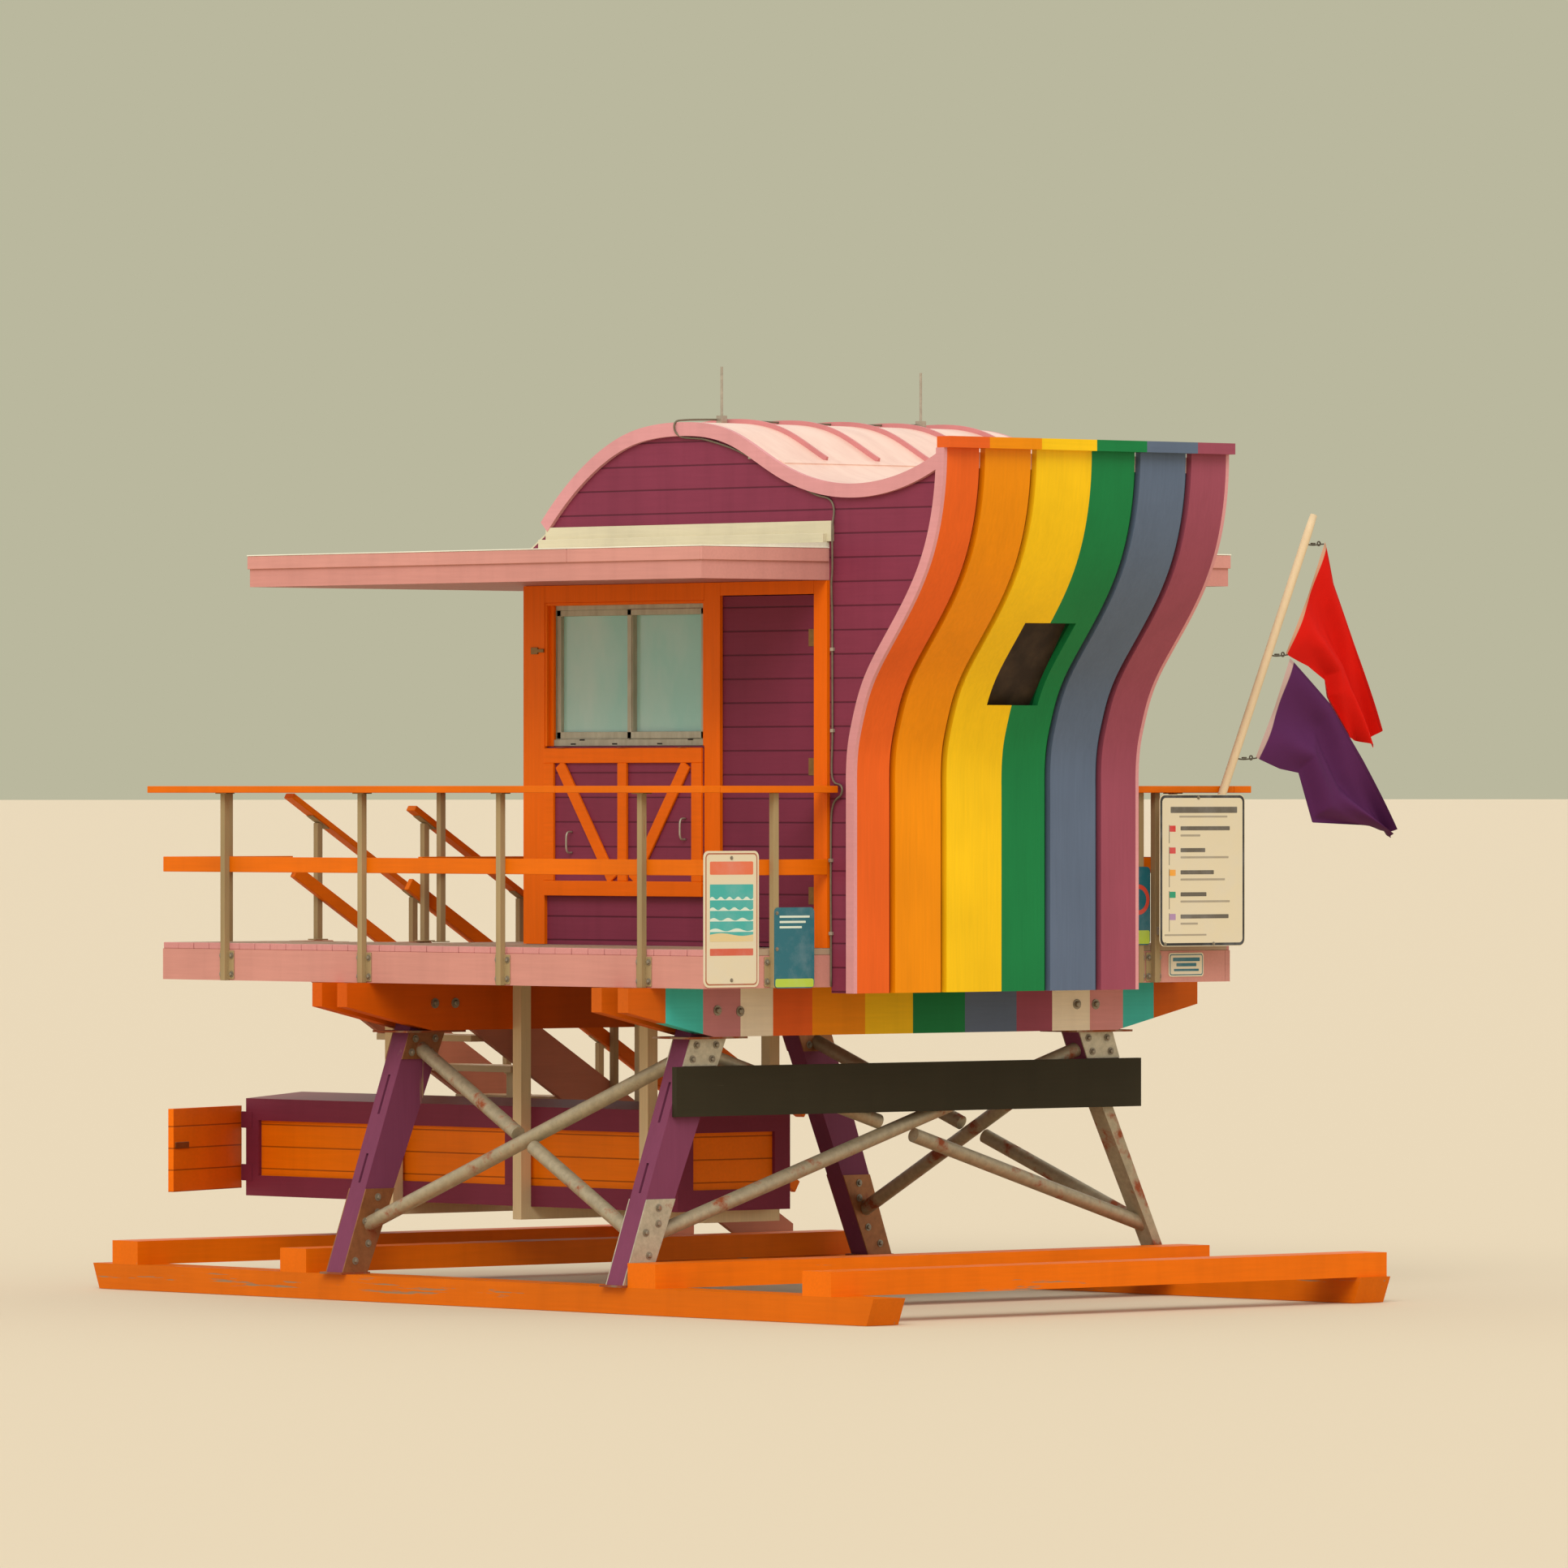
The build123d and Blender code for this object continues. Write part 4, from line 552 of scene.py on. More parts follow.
fascia = paint("fascia_pink", canopy_soffit_shade_colour, "x", 0.10)
dress(fascia, "canopy_near", "canopy_far", "canopy_ocean")
FASCIA_Z, EDGE_Z = (2.213, 2.290), (2.2905, 2.297)      # foot and head of the upper fascia and the membrane
upper_fascia = []
for y0, y1 in ((-0.012, 0.001), (WIDTH - 0.001, WIDTH + 0.012)):
    upper_fascia += [cuboid(0.808, 3.70, y0, y1, *FASCIA_Z), cuboid(3.703, 4.862, y0, y1, *FASCIA_Z)]
for y0, y1 in ((-0.012, 0.965), (WIDTH - 0.965, WIDTH + 0.012)):
    upper_fascia.append(cuboid(4.861, 4.874, y0, y1, *FASCIA_Z))
upper_fascia.append(cuboid(0.808, 0.821, 0, WIDTH, *FASCIA_Z))
boards("upper_fascia", upper_fascia, paint("upper_fascia_pink", tint(212, 149, 137), "x", 0.12))
membrane = paint("white_membrane", tint(238, 234, 214), "x", 0.03, rough=0.6, under=tint(200, 194, 170))
edge_runs = [cuboid(0.806, 4.876, y0, y1, *EDGE_Z)
             for y0, y1 in ((-0.014, 0.02), (WIDTH - 0.02, WIDTH + 0.014))]
edge_runs.append(cuboid(0.806, 0.84, 0.021, WIDTH - 0.021, *EDGE_Z))
for y0, y1 in ((0.021, 0.965), (WIDTH - 0.965, WIDTH - 0.021)):
    edge_runs.append(cuboid(4.842, 4.876, y0, y1, *EDGE_Z))
boards("membrane_edge", edge_runs, membrane, chamfer=0.001)
flashing_paint = paint("flashing_white", tint(216, 206, 174), "x", 0.06, rough=0.45, under=tint(190, 170, 140))
dress(flashing_paint, "canopy_flashing")
step_runs = [cuboid(2.36, 4.862, y0, y1, 2.322, 2.376) for y0, y1 in ((0.925, CABIN_NEAR), (CABIN_FAR, 3.217))]
slope = at(2.400, 0, 2.4235) - at(2.192, 0, 2.2910)
square = np.array([-slope[2], 0, slope[0]]) / np.linalg.norm(slope)
ledge = at(2.296, 0, 2.3573) + 0.003 * square
step_runs.append((ledge + [0, CABIN_NEAR, 0], ledge + [0, CABIN_FAR, 0], slope, 0.012 * square))
boards("flashing_step", step_runs, flashing_paint, chamfer=0.002)

# ---- Orange trims, window jambs and windows ----
# Orange boards frame the corner, the window and the door. The window is a grey aluminium
# two-pane slider set back in a jamb of orange boards, with weep slots in its sill.
trim_paint = paint("trim_orange", ORANGE, "z", 0.14)
dress(trim_paint, "wall_trims")
frame_grey = two_tone("window_grey", ((6, 6, 1.5), 3.0, 4.0, 0.55), (0.35, 0.75), tint(176, 172, 148),
                      tint(150, 144, 120), 0.5, metallic=0.1)
dress(frame_grey, "window_frames")
dress(two_tone("window_glass", ((1, 1, 0.5), 2.2, 4.0, 0.55), (0.35, 0.8), tint(160, 212, 194),
               tint(204, 224, 210), (0.4, 0.8, 0.06, 0.22), clear=0.25), "window_glass")
# the porthole's pane is an opaque dark brown sheet: painted shade of the unlit room behind the glass
porthole_shade = two_tone("porthole_painted_shade", ((1, 1, 1), 7.0, 4.0, 0.55), (0.4, 0.9), tint(46, 33, 24),
                     tint(78, 60, 44), 0.6, gloss=0.2)
pane_foot, pane_head = at(5.093, 2.104, 1.375), at(5.434, 2.104, 1.885)
pane_lean = (pane_head - pane_foot) / np.linalg.norm(pane_head - pane_foot)
pane_run = (pane_foot, pane_head, np.array([0, 0.44, 0]), np.cross(pane_lean, [0, 1, 0]) * 0.006)
boards("porthole_pane", [pane_run], porthole_shade, chamfer=0.001)

WINDOW = (2.385, 3.805, 1.162, 2.006)      # x, then z, of the near window's opening


def far_side(place):
    """The mirror image of a place across the middle of the deck."""
    return place * [1, -1, 1] + [0, 2 * on("y", WIDTH / 2), 0]


def to_walls(run):
    """A near-wall run, its mirror image on the far wall and its copy on the ocean wall, turned a quarter."""
    start, end, wide, deep = (np.array(v, float) for v in run)
    mirror = np.array([1, -1, 1.0])
    far = (far_side(start), far_side(end), wide * mirror, deep * mirror)
    centre = at((WINDOW[0] + WINDOW[1]) / 2, CABIN_NEAR, 0)
    target = at(CABIN_OCEAN, WIDTH / 2, 0)
    quarter = np.array([[0, 1, 0], [-1, 0, 0], [0, 0, 1.0]])
    flat = np.array([1, 1, 0])

    def turned(point):
        return (quarter @ ((point - centre) * flat)) + target * flat + [0, 0, point[2]]

    ocean = (turned(start), turned(end), quarter @ wide, quarter @ deep)
    return [(start, end, wide, deep), far, ocean]


def on_walls(name, runs, material, chamfer=0.003):
    """The same boards at the near, far and ocean windows."""
    return boards(name, [copy for run in runs for copy in to_walls(run)], material, chamfer=chamfer)


x0, x1, z0, z1 = WINDOW
jamb_runs = [cuboid(x0, x0 + 0.018, 0.957, 1.006, z0, z1), cuboid(x1 - 0.018, x1, 0.957, 1.006, z0, z1),
             cuboid(x0 + 0.018, x1 - 0.018, 0.957, 1.006, z1 - 0.018, z1),
             cuboid(x0, x0 + 0.045, 0.985, 1.006, z0, z1 - 0.018)]
on_walls("window_jambs", jamb_runs, trim_paint)
sash_runs = []
middle_x = (x0 + x1) / 2
for left, right, front in ((x0 + 0.045, middle_x + 0.02, 1.012), (middle_x - 0.02, x1 - 0.045, 0.998)):
    foot, head = z0 + 0.045, z1 - 0.045
    for a, b, c, d in ((left, left + 0.035, foot, head), (right - 0.035, right, foot, head),
                       (left, right, foot, z0 + 0.085), (left, right, z1 - 0.080, head)):
        sash_runs.append(cuboid(a, b, front, front + 0.026, c, d))
sash_runs.append(cuboid(x0 + 0.02, x1 - 0.02, 0.990, 1.006, z0 + 0.002, z0 + 0.040))
on_walls("window_sashes", sash_runs, frame_grey, 0.002)
# near-black strips on the sill stand in for the weep slots' openings: painted shade
slot_shade_paint = paint("weep_slot_painted_shade", tint(30, 28, 26), "x", 0.0)
weep_runs = [cuboid(x, x + 0.045, 0.9885, 0.991, z, z + 0.008) for x, z in
             ((2.58, 1.172), (2.66, 1.196), (2.95, 1.172), (3.35, 1.172), (3.62, 1.196))]
on_walls("weep_slots", weep_runs, slot_shade_paint, 0.0005)

# ---- Shutters ----
# Below each window hangs its board shutter: purple boards in an orange frame with a centre
# stile and two braces that run down to its foot, three hinge leaves on top and two pull handles.
SHUT_X0, SHUT_X1, SHUT_Z0, SHUT_Z1 = 2.395, 3.795, 0.287, 1.152
panel_paint = paint("shutter_purple", SIDING, "x", 0.08, ("z", on("z", 0.287), 0.144, 0.006))
panel_run = cuboid(SHUT_X0, SHUT_X1, 0.956, 0.976, SHUT_Z0, SHUT_Z1)
on_walls("shutter_panels", [panel_run], panel_paint)
RAIL = 0.088
FRAME_Y = (0.936, 0.956)
inner_z = (SHUT_Z0 + RAIL, SHUT_Z1 - RAIL)
frame_runs = [cuboid(SHUT_X0, SHUT_X1, *FRAME_Y, SHUT_Z1 - RAIL, SHUT_Z1),
              cuboid(SHUT_X0, SHUT_X1, *FRAME_Y, SHUT_Z0, SHUT_Z0 + RAIL)]
stiles = ((SHUT_X0, SHUT_X0 + RAIL), (SHUT_X1 - RAIL, SHUT_X1), (middle_x - 0.04, middle_x + 0.04))
frame_runs += [cuboid(a, b, *FRAME_Y, *inner_z) for a, b in stiles]
for top_x, foot_x in ((SHUT_X0 + RAIL + 0.05, middle_x - 0.09), (SHUT_X1 - RAIL - 0.05, middle_x + 0.09)):
    start, end = at(top_x, 0.947, SHUT_Z1 - RAIL - 0.005), at(foot_x, 0.947, SHUT_Z0 + RAIL + 0.005)
    lean = (end - start) / np.linalg.norm(end - start)
    frame_runs.append((start, end, np.cross(lean, [0, 1, 0]) * 0.080, np.array([0, 0.017, 0])))
shutter_orange = paint("shutter_orange", ORANGE, "x", 0.14)
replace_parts(on_walls("shutter_frames", frame_runs, shutter_orange), "window_shutters")


def smooth_path(points, steps=8):
    """Points on a smooth curve through the given ones: each span is a Catmull-Rom cubic of four neighbours."""
    p = np.array(points, float)
    p = np.vstack([2 * p[0] - p[1], p, 2 * p[-1] - p[-2]])
    t = np.linspace(0, 1, steps, endpoint=False)[:, None]
    spans = []
    for a, b, c, d in zip(p[:-3], p[1:-2], p[2:-1], p[3:]):
        square, cube = 2 * a - 5 * b + 4 * c - d, 3 * b - a - 3 * c + d
        spans.append(0.5 * (2 * b + (c - a) * t + square * t ** 2 + cube * t ** 3))
    return np.vstack(spans + [p[-2:-1]])


def rods(name, paths, radius, material, sides=10):
    """Round bars: a circle is carried along each path, turned square to it by the cross product of the
    path's direction and a fixed helper direction, and both ends are closed."""
    stacks = []
    angle = np.arange(sides) * 2 * np.pi / sides
    for path in paths:
        path = np.array(path, float)
        along = np.gradient(path, axis=0)
        along /= np.linalg.norm(along, axis=1, keepdims=True)
        helper = np.array([0.31, 0.17, 0.93]) if abs(along[:, 2]).mean() < 0.8 else np.array([0.93, 0.31, 0.17])
        side = np.cross(along, helper)
        side /= np.linalg.norm(side, axis=1, keepdims=True)
        up = np.cross(along, side)
        thick = np.broadcast_to(radius, (len(path),))[:, None, None]
        ring = np.cos(angle)[None, :, None] * side[:, None, :] + np.sin(angle)[None, :, None] * up[:, None, :]
        stacks.append(path[:, None, :] + ring * thick)
    return skin(name, stacks, material, smooth=True)


# a handle's path: out from the boards and up
BOW = ((0.955, -0.06), (0.925, -0.06), (0.912, -0.04), (0.910, 0.0), (0.912, 0.04), (0.925, 0.06),
       (0.955, 0.06))
handle_paths = [smooth_path([at(x, y, middle_z + z) for y, z in BOW], 4)
                for x, middle_z in ((2.632, 0.60), (3.640, 0.68))]
rods("shutter_handles", handle_paths, 0.006, galvanised)
leaf_runs = [cuboid(x, x + 0.07, 0.930, 0.976, SHUT_Z1, SHUT_Z1 + 0.004) for x in (2.52, 3.06, 3.60)]
on_walls("shutter_hinges", leaf_runs, rusty_steel, 0.001)

# ---- Door ----
# A plank door in the same purple boards, closed flush with the wall, on brass butt hinges.
brass = metal("aged_brass", tint(132, 98, 54), 0.15, 0.4, 0.8, tint(92, 72, 40))
dress(paint("door_purple", tint(122, 47, 68), "x", 0.10, siding_seams, 0.5), "cabin_door")
dress(brass, "door_hinges")
door_leaves = [cuboid(4.685, 4.742, 0.974, 0.9765, z - 0.05, z + 0.05) for z in (0.30, 1.04, 1.78)]
boards("door_hinge_leaves", door_leaves, brass, "door", 0.0008)
latch_runs = [cuboid(2.27, 2.33, 0.946, 0.954, 1.705, 1.745), cuboid(2.33, 2.385, 0.944, 0.952, 1.715, 1.735)]
boards("corner_latch", latch_runs, brass, chamfer=0.001)

# ---- Railings ----
# Orange cap boards lie flat on square weathered posts, with an orange middle rail behind them;
# each post is bolted to the rim through two flanges at its foot.
rail_orange = paint("rail_orange", tint(226, 108, 2), "x", 0.20)
rail_orange_y = paint("rail_orange_y", tint(226, 108, 2), "y", 0.20)
post_grey = paint("post_beige", tint(166, 143, 102), "z", 0.35, rough=0.6, under=tint(150, 96, 56), streaks=0.2)
CAP, MID = (0.890, 0.930), (0.420, 0.510)      # foot and head of the cap boards and the middle rails


def side_railing(name, runs_x, posts_x, far=False):
    """A railing along x: runs_x holds the ends of the caps and of the middle rails, and each x has a post."""
    caps = [cuboid(a, b, -0.090, 0.050, *CAP) for a, b in runs_x[0]]
    caps += [cuboid(a, b, 0.0, 0.038, *MID) for a, b in runs_x[1]]
    posts, heads = [], []
    for x in posts_x:
        posts.append(cuboid(x - 0.020, x + 0.020, -0.040, 0.0, -0.222, 0.886))
        posts.append(cuboid(x - 0.065, x + 0.065, -0.007, -0.001, -0.215, -0.045))
        posts.append(cuboid(x - 0.050, x + 0.050, -0.055, 0.015, 0.884, 0.890))
        heads += [(at(x + side * 0.046, -0.007, z), (0, -1, 0)) for side in (-1, 1) for z in (-0.185, -0.075)]
    if far:
        caps, posts = ([(far_side(start), far_side(end), wide, deep) for start, end, wide, deep in runs]
                       for runs in (caps, posts))
        heads = [(far_side(centre), (0, 1, 0)) for centre, _ in heads]
    rail = boards(name + "_rails", caps, rail_orange)
    boards(name + "_posts", posts, post_grey, chamfer=0.002)
    bolts(name + "_bolts", heads, 0.010)
    return rail


near_rail = side_railing("near_railing", (((-0.040, 3.690), (3.692, 4.967)), ((0, 4.877),)),
                         (0.610, 1.880, 3.130, 4.370))
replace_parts(near_rail, "near_railing")
far_rail = side_railing("far_railing", (((1.200, 4.967),), ((1.200, 4.877),)), (1.880, 3.130, 4.370), far=True)
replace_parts(far_rail, "far_railing")

end_caps = [cuboid(4.827, 4.967, 0.052, 0.949, *CAP), cuboid(4.827, 4.967, 3.193, 4.090, *CAP),
            cuboid(-0.090, 0.050, 0.052, 0.976, *CAP), cuboid(4.839, 4.877, 0.052, 0.949, *MID),
            cuboid(4.839, 4.877, 3.193, 4.090, *MID), cuboid(0, 0.038, 0.052, 0.976, *MID)]
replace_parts(boards("end_rails", end_caps, rail_orange_y), "end_railings")
end_posts, end_heads = [], []
for y in (0.520, 3.386, 3.516):
    end_posts.append(cuboid(4.877, 4.917, y - 0.020, y + 0.020, -0.222, 0.890))
    end_posts.append(cuboid(4.878, 4.884, y - 0.060, y + 0.060, -0.215, -0.045))
    end_heads += [(at(4.884, y + side * 0.042, z), (1, 0, 0)) for side in (-1, 1) for z in (-0.185, -0.075)]
end_posts.append(cuboid(-0.040, 0, 0.500, 0.540, -0.222, 0.890))
boards("end_posts", end_posts, post_grey, chamfer=0.002)
bolts("end_post_bolts", end_heads, 0.010)
guard_runs = [cuboid(1.110, 1.250, 0.978, 4.090, *CAP), cuboid(1.200, 1.238, 0.978, 4.090, *MID)]
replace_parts(boards("guard_rails", guard_runs, rail_orange_y), "guard_railing")
guard_posts = [cuboid(1.160, 1.200, y - 0.020, y + 0.020, 0, 0.890) for y in (1.176, 2.363, 3.550)]
guard_posts += [cuboid(1.150, 1.210, y - 0.045, y + 0.045, 0.0, 0.006) for y in (1.176, 2.363, 3.550)]
boards("guard_posts", guard_posts, post_grey, chamfer=0.002)

# ---- Stair ----
# Dusty pink stringers carry cream treads down through the well; sloped orange handrails and
# middle rails run beside them on grey posts.
dress(paint("stringer_pink", tint(198, 132, 104), "y", 0.22), "stair_stringers")
dress(paint("tread_cream", tint(212, 188, 144), "x", 0.40), "stair_treads")
PITCH = 0.189 / 0.313


def pitch_z(y):
    """Height of the line through the tread edges."""
    return -PITCH * (y - 0.976)


def sloped(x0, x1, height, deep, y0, y1):
    """A board parallel to the stair: its top a height above the line of the treads."""
    slant = deep / math.sqrt(1 + PITCH ** 2)      # its depth square to the slope
    ends = [at((x0 + x1) / 2, y, pitch_z(y) + height - deep / 2) for y in (y0, y1)]
    lean = (ends[1] - ends[0]) / np.linalg.norm(ends[1] - ends[0])
    return ends[0], ends[1], np.array([x1 - x0, 0, 0]), np.cross(lean, [1, 0, 0]) * slant


HANDRAIL, MIDDLE_RAIL = (0.902, 0.040), (0.478, 0.090)      # height above the treads' line, and depth
stair_runs = [sloped(-0.060, 0.020, *HANDRAIL, 0.990, 4.240), sloped(0, 0.038, *MIDDLE_RAIL, 1.000, 4.230),
              sloped(0.940, 1.020, *HANDRAIL, 1.112, 4.240), sloped(0.922, 0.960, *MIDDLE_RAIL, 1.122, 4.230)]
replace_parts(boards("stair_handrails", stair_runs, rail_orange_y), "stair_rails")
stair_posts = []
for x in (-0.040, 0.960):
    for k in range(4):
        y = 1.197 + 0.75 * k
        stair_posts.append(cuboid(x, x + 0.040, y, y + 0.040, pitch_z(y) - 0.149, pitch_z(y + 0.04) + 0.866))
        stair_posts.append(sloped(x - 0.010, x + 0.050, 0.862, 0.008, y - 0.045, y + 0.085))
    stair_posts.append(cuboid(x - 0.018, x + 0.058, 1.167, 1.267, 0.001, 0.009))
boards("stair_posts", stair_posts, post_grey, chamfer=0.002)

# ---- Locker ----
# A long board locker hangs under the deck in timber slings. Its front and land end are orange
# boards in a purple frame, its lid a weathered mauve, and its ocean end hatch stands open.


def locker_colour(tree, place):
    """Purple, with a paler, chalky mauve where the lid looks up."""
    facing = axis_value(tree, put(tree, "NewGeometry", out=1), "z")
    return blend_colour(tree, ramp(tree, facing, 0.5, 0.6), tint(126, 49, 68), tint(142, 86, 78))


locker_purple = paint("locker_purple", locker_colour, "x", 0.18)
dress(locker_purple, "locker_box", "hatch_hinges")
panel_seams = ("z", on("z", -1.390), 0.134, 0.006)
hatch_seams = ("z", on("z", -1.380), 0.131, 0.006)
dress(paint("locker_orange", tint(246, 122, 2), "x", 0.12, panel_seams), "locker_panel")
dress(paint("hatch_orange", tint(240, 114, 4), "y", 0.16, hatch_seams), "locker_hatch")
stile_runs = [cuboid(a, b, 1.180, 1.204, -1.433, -1.098) for a, b in ((0.600, 0.715), (1.760, 1.850))]
boards("locker_stiles", stile_runs, locker_purple, chamfer=0.002)
dress(paint("sling_cream", tint(228, 204, 156), "z", 0.28), "locker_hangers")
HATCH_OPEN = math.radians(203)
swing = np.array([-math.sin(HATCH_OPEN), math.cos(HATCH_OPEN), 0])
face_out = np.array([-math.cos(HATCH_OPEN), -math.sin(HATCH_OPEN), 0])
pin = at(-0.703, 1.180, 0)
latch_start = pin + swing * 0.690 + face_out * 0.003 + [0, 0, -1.230]
latch_run = (latch_start, latch_start + swing * 0.170, np.array([0, 0, 0.035]), face_out * 0.006)
boards("hatch_latch", [latch_run], brass, "hatch", 0.001)

# ---- Name board ----
# A long plank bolted across the land legs, dark paint over coarse grain, left without its words.
dress(paint("board_dark", tint(54, 49, 33), "y", 0.22, rough=0.6, under=tint(96, 88, 70)), "name_board")

# ---- Signs ----
# Thin painted metal plates with rounded corners, on the rim's face (x 4.877), the posts' (4.917)
# and in front of them (5.017). They carry plain borders, bands, waves and flags, and no words.


def plate(name, x, y0, y1, z0, z1, thick, radius, material):
    """A flat plate square to x: its outline is a rectangle whose corners are quarter circles of 6 steps,
    carried through the thickness; the front and the back are each one face."""
    turn = np.linspace(0, np.pi / 2, 7)
    left, right, foot, head = y0 + radius, y1 - radius, z0 + radius, z1 - radius
    outline = []
    for k, (cy, cz) in enumerate(((right, head), (left, head), (left, foot), (right, foot))):
        angle = turn + k * np.pi / 2
        outline.append(np.stack([cy + radius * np.cos(angle), cz + radius * np.sin(angle)], 1))
    outline = np.vstack(outline)
    rings = [np.column_stack([np.full(len(outline), p[0]), outline + p[1:]])
             for p in (at(x, 0, 0), at(x + thick, 0, 0))]
    return skin(name, [np.stack(rings)], material)


def wave_band(name, x, y0, y1, base, high, swells, material):
    """A wavy printed band: 60 places along y, from the base up to high plus a small sine."""
    y = np.linspace(y0, y1, 60)
    top = high + 0.008 * np.sin(swells * 2 * np.pi * (y - y0) / (y1 - y0))
    points = [at(x, a, base) for a in y] + [at(x, a, b) for a, b in zip(y, top)]
    here = np.arange(59)
    faces = np.stack([here, here + 1, here + 61, here + 60], 1).tolist()
    return settle(name, points, faces, material)


def enamel(name, colour, rough=0.35):
    """Printed enamel: one colour that a slow noise fades a little towards grey."""
    pale = tuple(0.75 * c + 0.25 * 0.6 for c in colour[:3]) + (1.0,)
    return two_tone(name, ((1, 1, 1), 6.0, 5.0, 0.65), (0.45, 0.95), colour, pale, rough)


sign_cream = enamel("sign_cream", tint(220, 206, 172))
sign_brown = enamel("sign_border", tint(170, 96, 60))
sign_teal = enamel("sign_teal", tint(20, 100, 112))
picture_teal = enamel("picture_teal", tint(60, 170, 160))
wave_cream = enamel("wave_cream", tint(214, 226, 206))
picture_tan = enamel("picture_tan", tint(220, 196, 140))
lime = enamel("lime_band", tint(176, 200, 60))
black = enamel("sign_black", tint(34, 32, 30))


def bordered(name, x, y0, y1, z0, z1, radii, insets, border):
    """A cream plate with a border and a cream field printed on it, each set in from the plate's edge."""
    base = plate(name, x, y0, y1, z0, z1, 0.005, radii[0], sign_cream)
    for part, layer, inset, radius, colour in (("_border", 0.0051, insets[0], radii[1], border),
                                               ("_field", 0.0056, insets[1], radii[2], sign_cream)):
        plate(name + part, x + layer, y0 + inset, y1 - inset, z0 + inset, z1 - inset, 0.0006, radius, colour)
    return base


tall = bordered("tall_sign", 4.877, 0.0, 0.418, -0.215, 0.560, (0.035, 0.028, 0.022), (0.012, 0.020),
                sign_brown)
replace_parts(tall, "signs")
PICTURE_Y = (0.045, 0.373)
sign_orange, sign_red = enamel("sign_orange", tint(222, 110, 70)), enamel("sign_red", tint(206, 90, 60))
plate("tall_sign_head", 4.8831, *PICTURE_Y, 0.425, 0.500, 0.0004, 0.008, sign_orange)
plate("tall_sign_picture", 4.8831, *PICTURE_Y, 0.045, 0.370, 0.0004, 0.004, picture_teal)
for k in range(4):
    low = 0.10 + 0.06 * k
    wave_band("tall_sign_wave_%d" % (k + 1), 4.8837, *PICTURE_Y, low, 0.112 + 0.06 * k, 2 + k, wave_cream)
wave_band("tall_sign_beach", 4.8838, *PICTURE_Y, 0.045, 0.085, 1, picture_tan)
plate("tall_sign_foot", 4.8831, *PICTURE_Y, -0.035, 0.005, 0.0004, 0.004, sign_red)
for side, y0, y1, z0, z1, band_top in (("near", 0.502, 0.806, -0.224, 0.237, -0.170),
                                       ("far", 3.200, 3.452, 0.0, 0.457, 0.085)):
    plate(side + "_notice", 4.917, y0, y1, z0, z1, 0.005, 0.028, sign_teal)
    plate(side + "_notice_band", 4.9221, y0 + 0.006, y1 - 0.006, z0 + 0.006, band_top, 0.0006, 0.012, lime)
disc_red = enamel("disc_red", tint(206, 70, 50))
plate("far_notice_disc", 4.9222, 3.265, 3.445, 0.175, 0.355, 0.0006, 0.0899, disc_red)
plate("far_notice_hub", 4.9228, 3.292, 3.418, 0.202, 0.328, 0.0006, 0.0629, sign_teal)
bordered("flag_board", 5.017, 3.433, 4.124, -0.010, 0.880, (0.040, 0.038, 0.026), (0.004, 0.020), black)
dark_bar, pale_bar = enamel("bar_dark", tint(96, 88, 74)), enamel("bar_pale", tint(164, 152, 128))
plate("board_head_bar", 5.0232, 3.520, 4.060, 0.772, 0.808, 0.0004, 0.004, dark_bar)
plate("board_head_thin_bar", 5.0232, 3.590, 3.980, 0.745, 0.756, 0.0004, 0.003, pale_bar)
# height of each row, its flag's colour, and where its long and thin bars end
board_rows = ((0.680, tint(206, 40, 30), 4.00, 3.76), (0.552, tint(206, 40, 30), 3.80, 3.99),
              (0.422, tint(236, 160, 40), 3.87, 3.96), (0.293, tint(30, 150, 110), 3.81, 4.00),
              (0.163, tint(170, 130, 170), 3.99, 3.74))
for k, (z, colour, long_end, thin_end) in enumerate(board_rows):
    ink = enamel("printed_flag_%d" % (k + 1), colour)
    plate("board_flag_%d" % (k + 1), 5.0232, 3.512, 3.560, z - 0.018, z + 0.018, 0.0005, 0.003, ink)
    plate("board_staff_%d" % (k + 1), 5.0232, 3.507, 3.511, z - 0.085, z + 0.022, 0.0004, 0.001, black)
    plate("board_bar_%d" % (k + 1), 5.0232, 3.600, long_end, z - 0.010, z + 0.014, 0.0004, 0.004, dark_bar)
    plate("board_thin_bar_%d" % (k + 1), 5.0232, 3.600, thin_end, z - 0.046, z - 0.034, 0.0004, 0.003, pale_bar)
plate("board_foot_bar", 5.0232, 3.470, 3.810, 0.052, 0.062, 0.0004, 0.003, pale_bar)
bordered("duty_plate", 4.877, 3.640, 3.922, -0.190, -0.050, (0.018, 0.014, 0.010), (0.008, 0.014), sign_teal)
for part, y0, y1, z0, z1, radius in (("bar", 3.672, 3.890, -0.100, -0.078, 0.004),
                                     ("middle_bar", 3.700, 3.862, -0.130, -0.110, 0.004),
                                     ("thin_bar", 3.680, 3.882, -0.158, -0.144, 0.003)):
    plate("duty_plate_" + part, 4.8832, y0, y1, z0, z1, 0.0004, radius, sign_teal)
for k in range(3):
    drop = 0.030 * k
    plate("near_notice_bar_%d" % (k + 1), 4.9221, 0.540, 0.770 - drop, 0.178 - drop, 0.190 - drop,
          0.0004, 0.004, wave_cream)
screw_places = [(4.8832, 0.209, 0.520), (4.8832, 0.209, -0.175), (4.9222, 0.520, 0.205), (4.9222, 0.520, 0.00),
                (5.0232, 3.745, 0.862), (5.0232, 3.475, 0.004), (5.0232, 3.868, 0.004)]
bolts("sign_screws", [(at(*p), (1, 0, 0)) for p in screw_places], 0.006)

# ---- Flagpole and flags ----
# A pale round pole leans out over the far side, bolted to the far post. Two flags hang from it by
# snap hooks at their corners, red above purple, each falling in loose folds from its top corner.
POLE_X = 4.992
pole_foot, pole_top = np.array([3.584, 0.040]), np.array([4.720, 2.535])


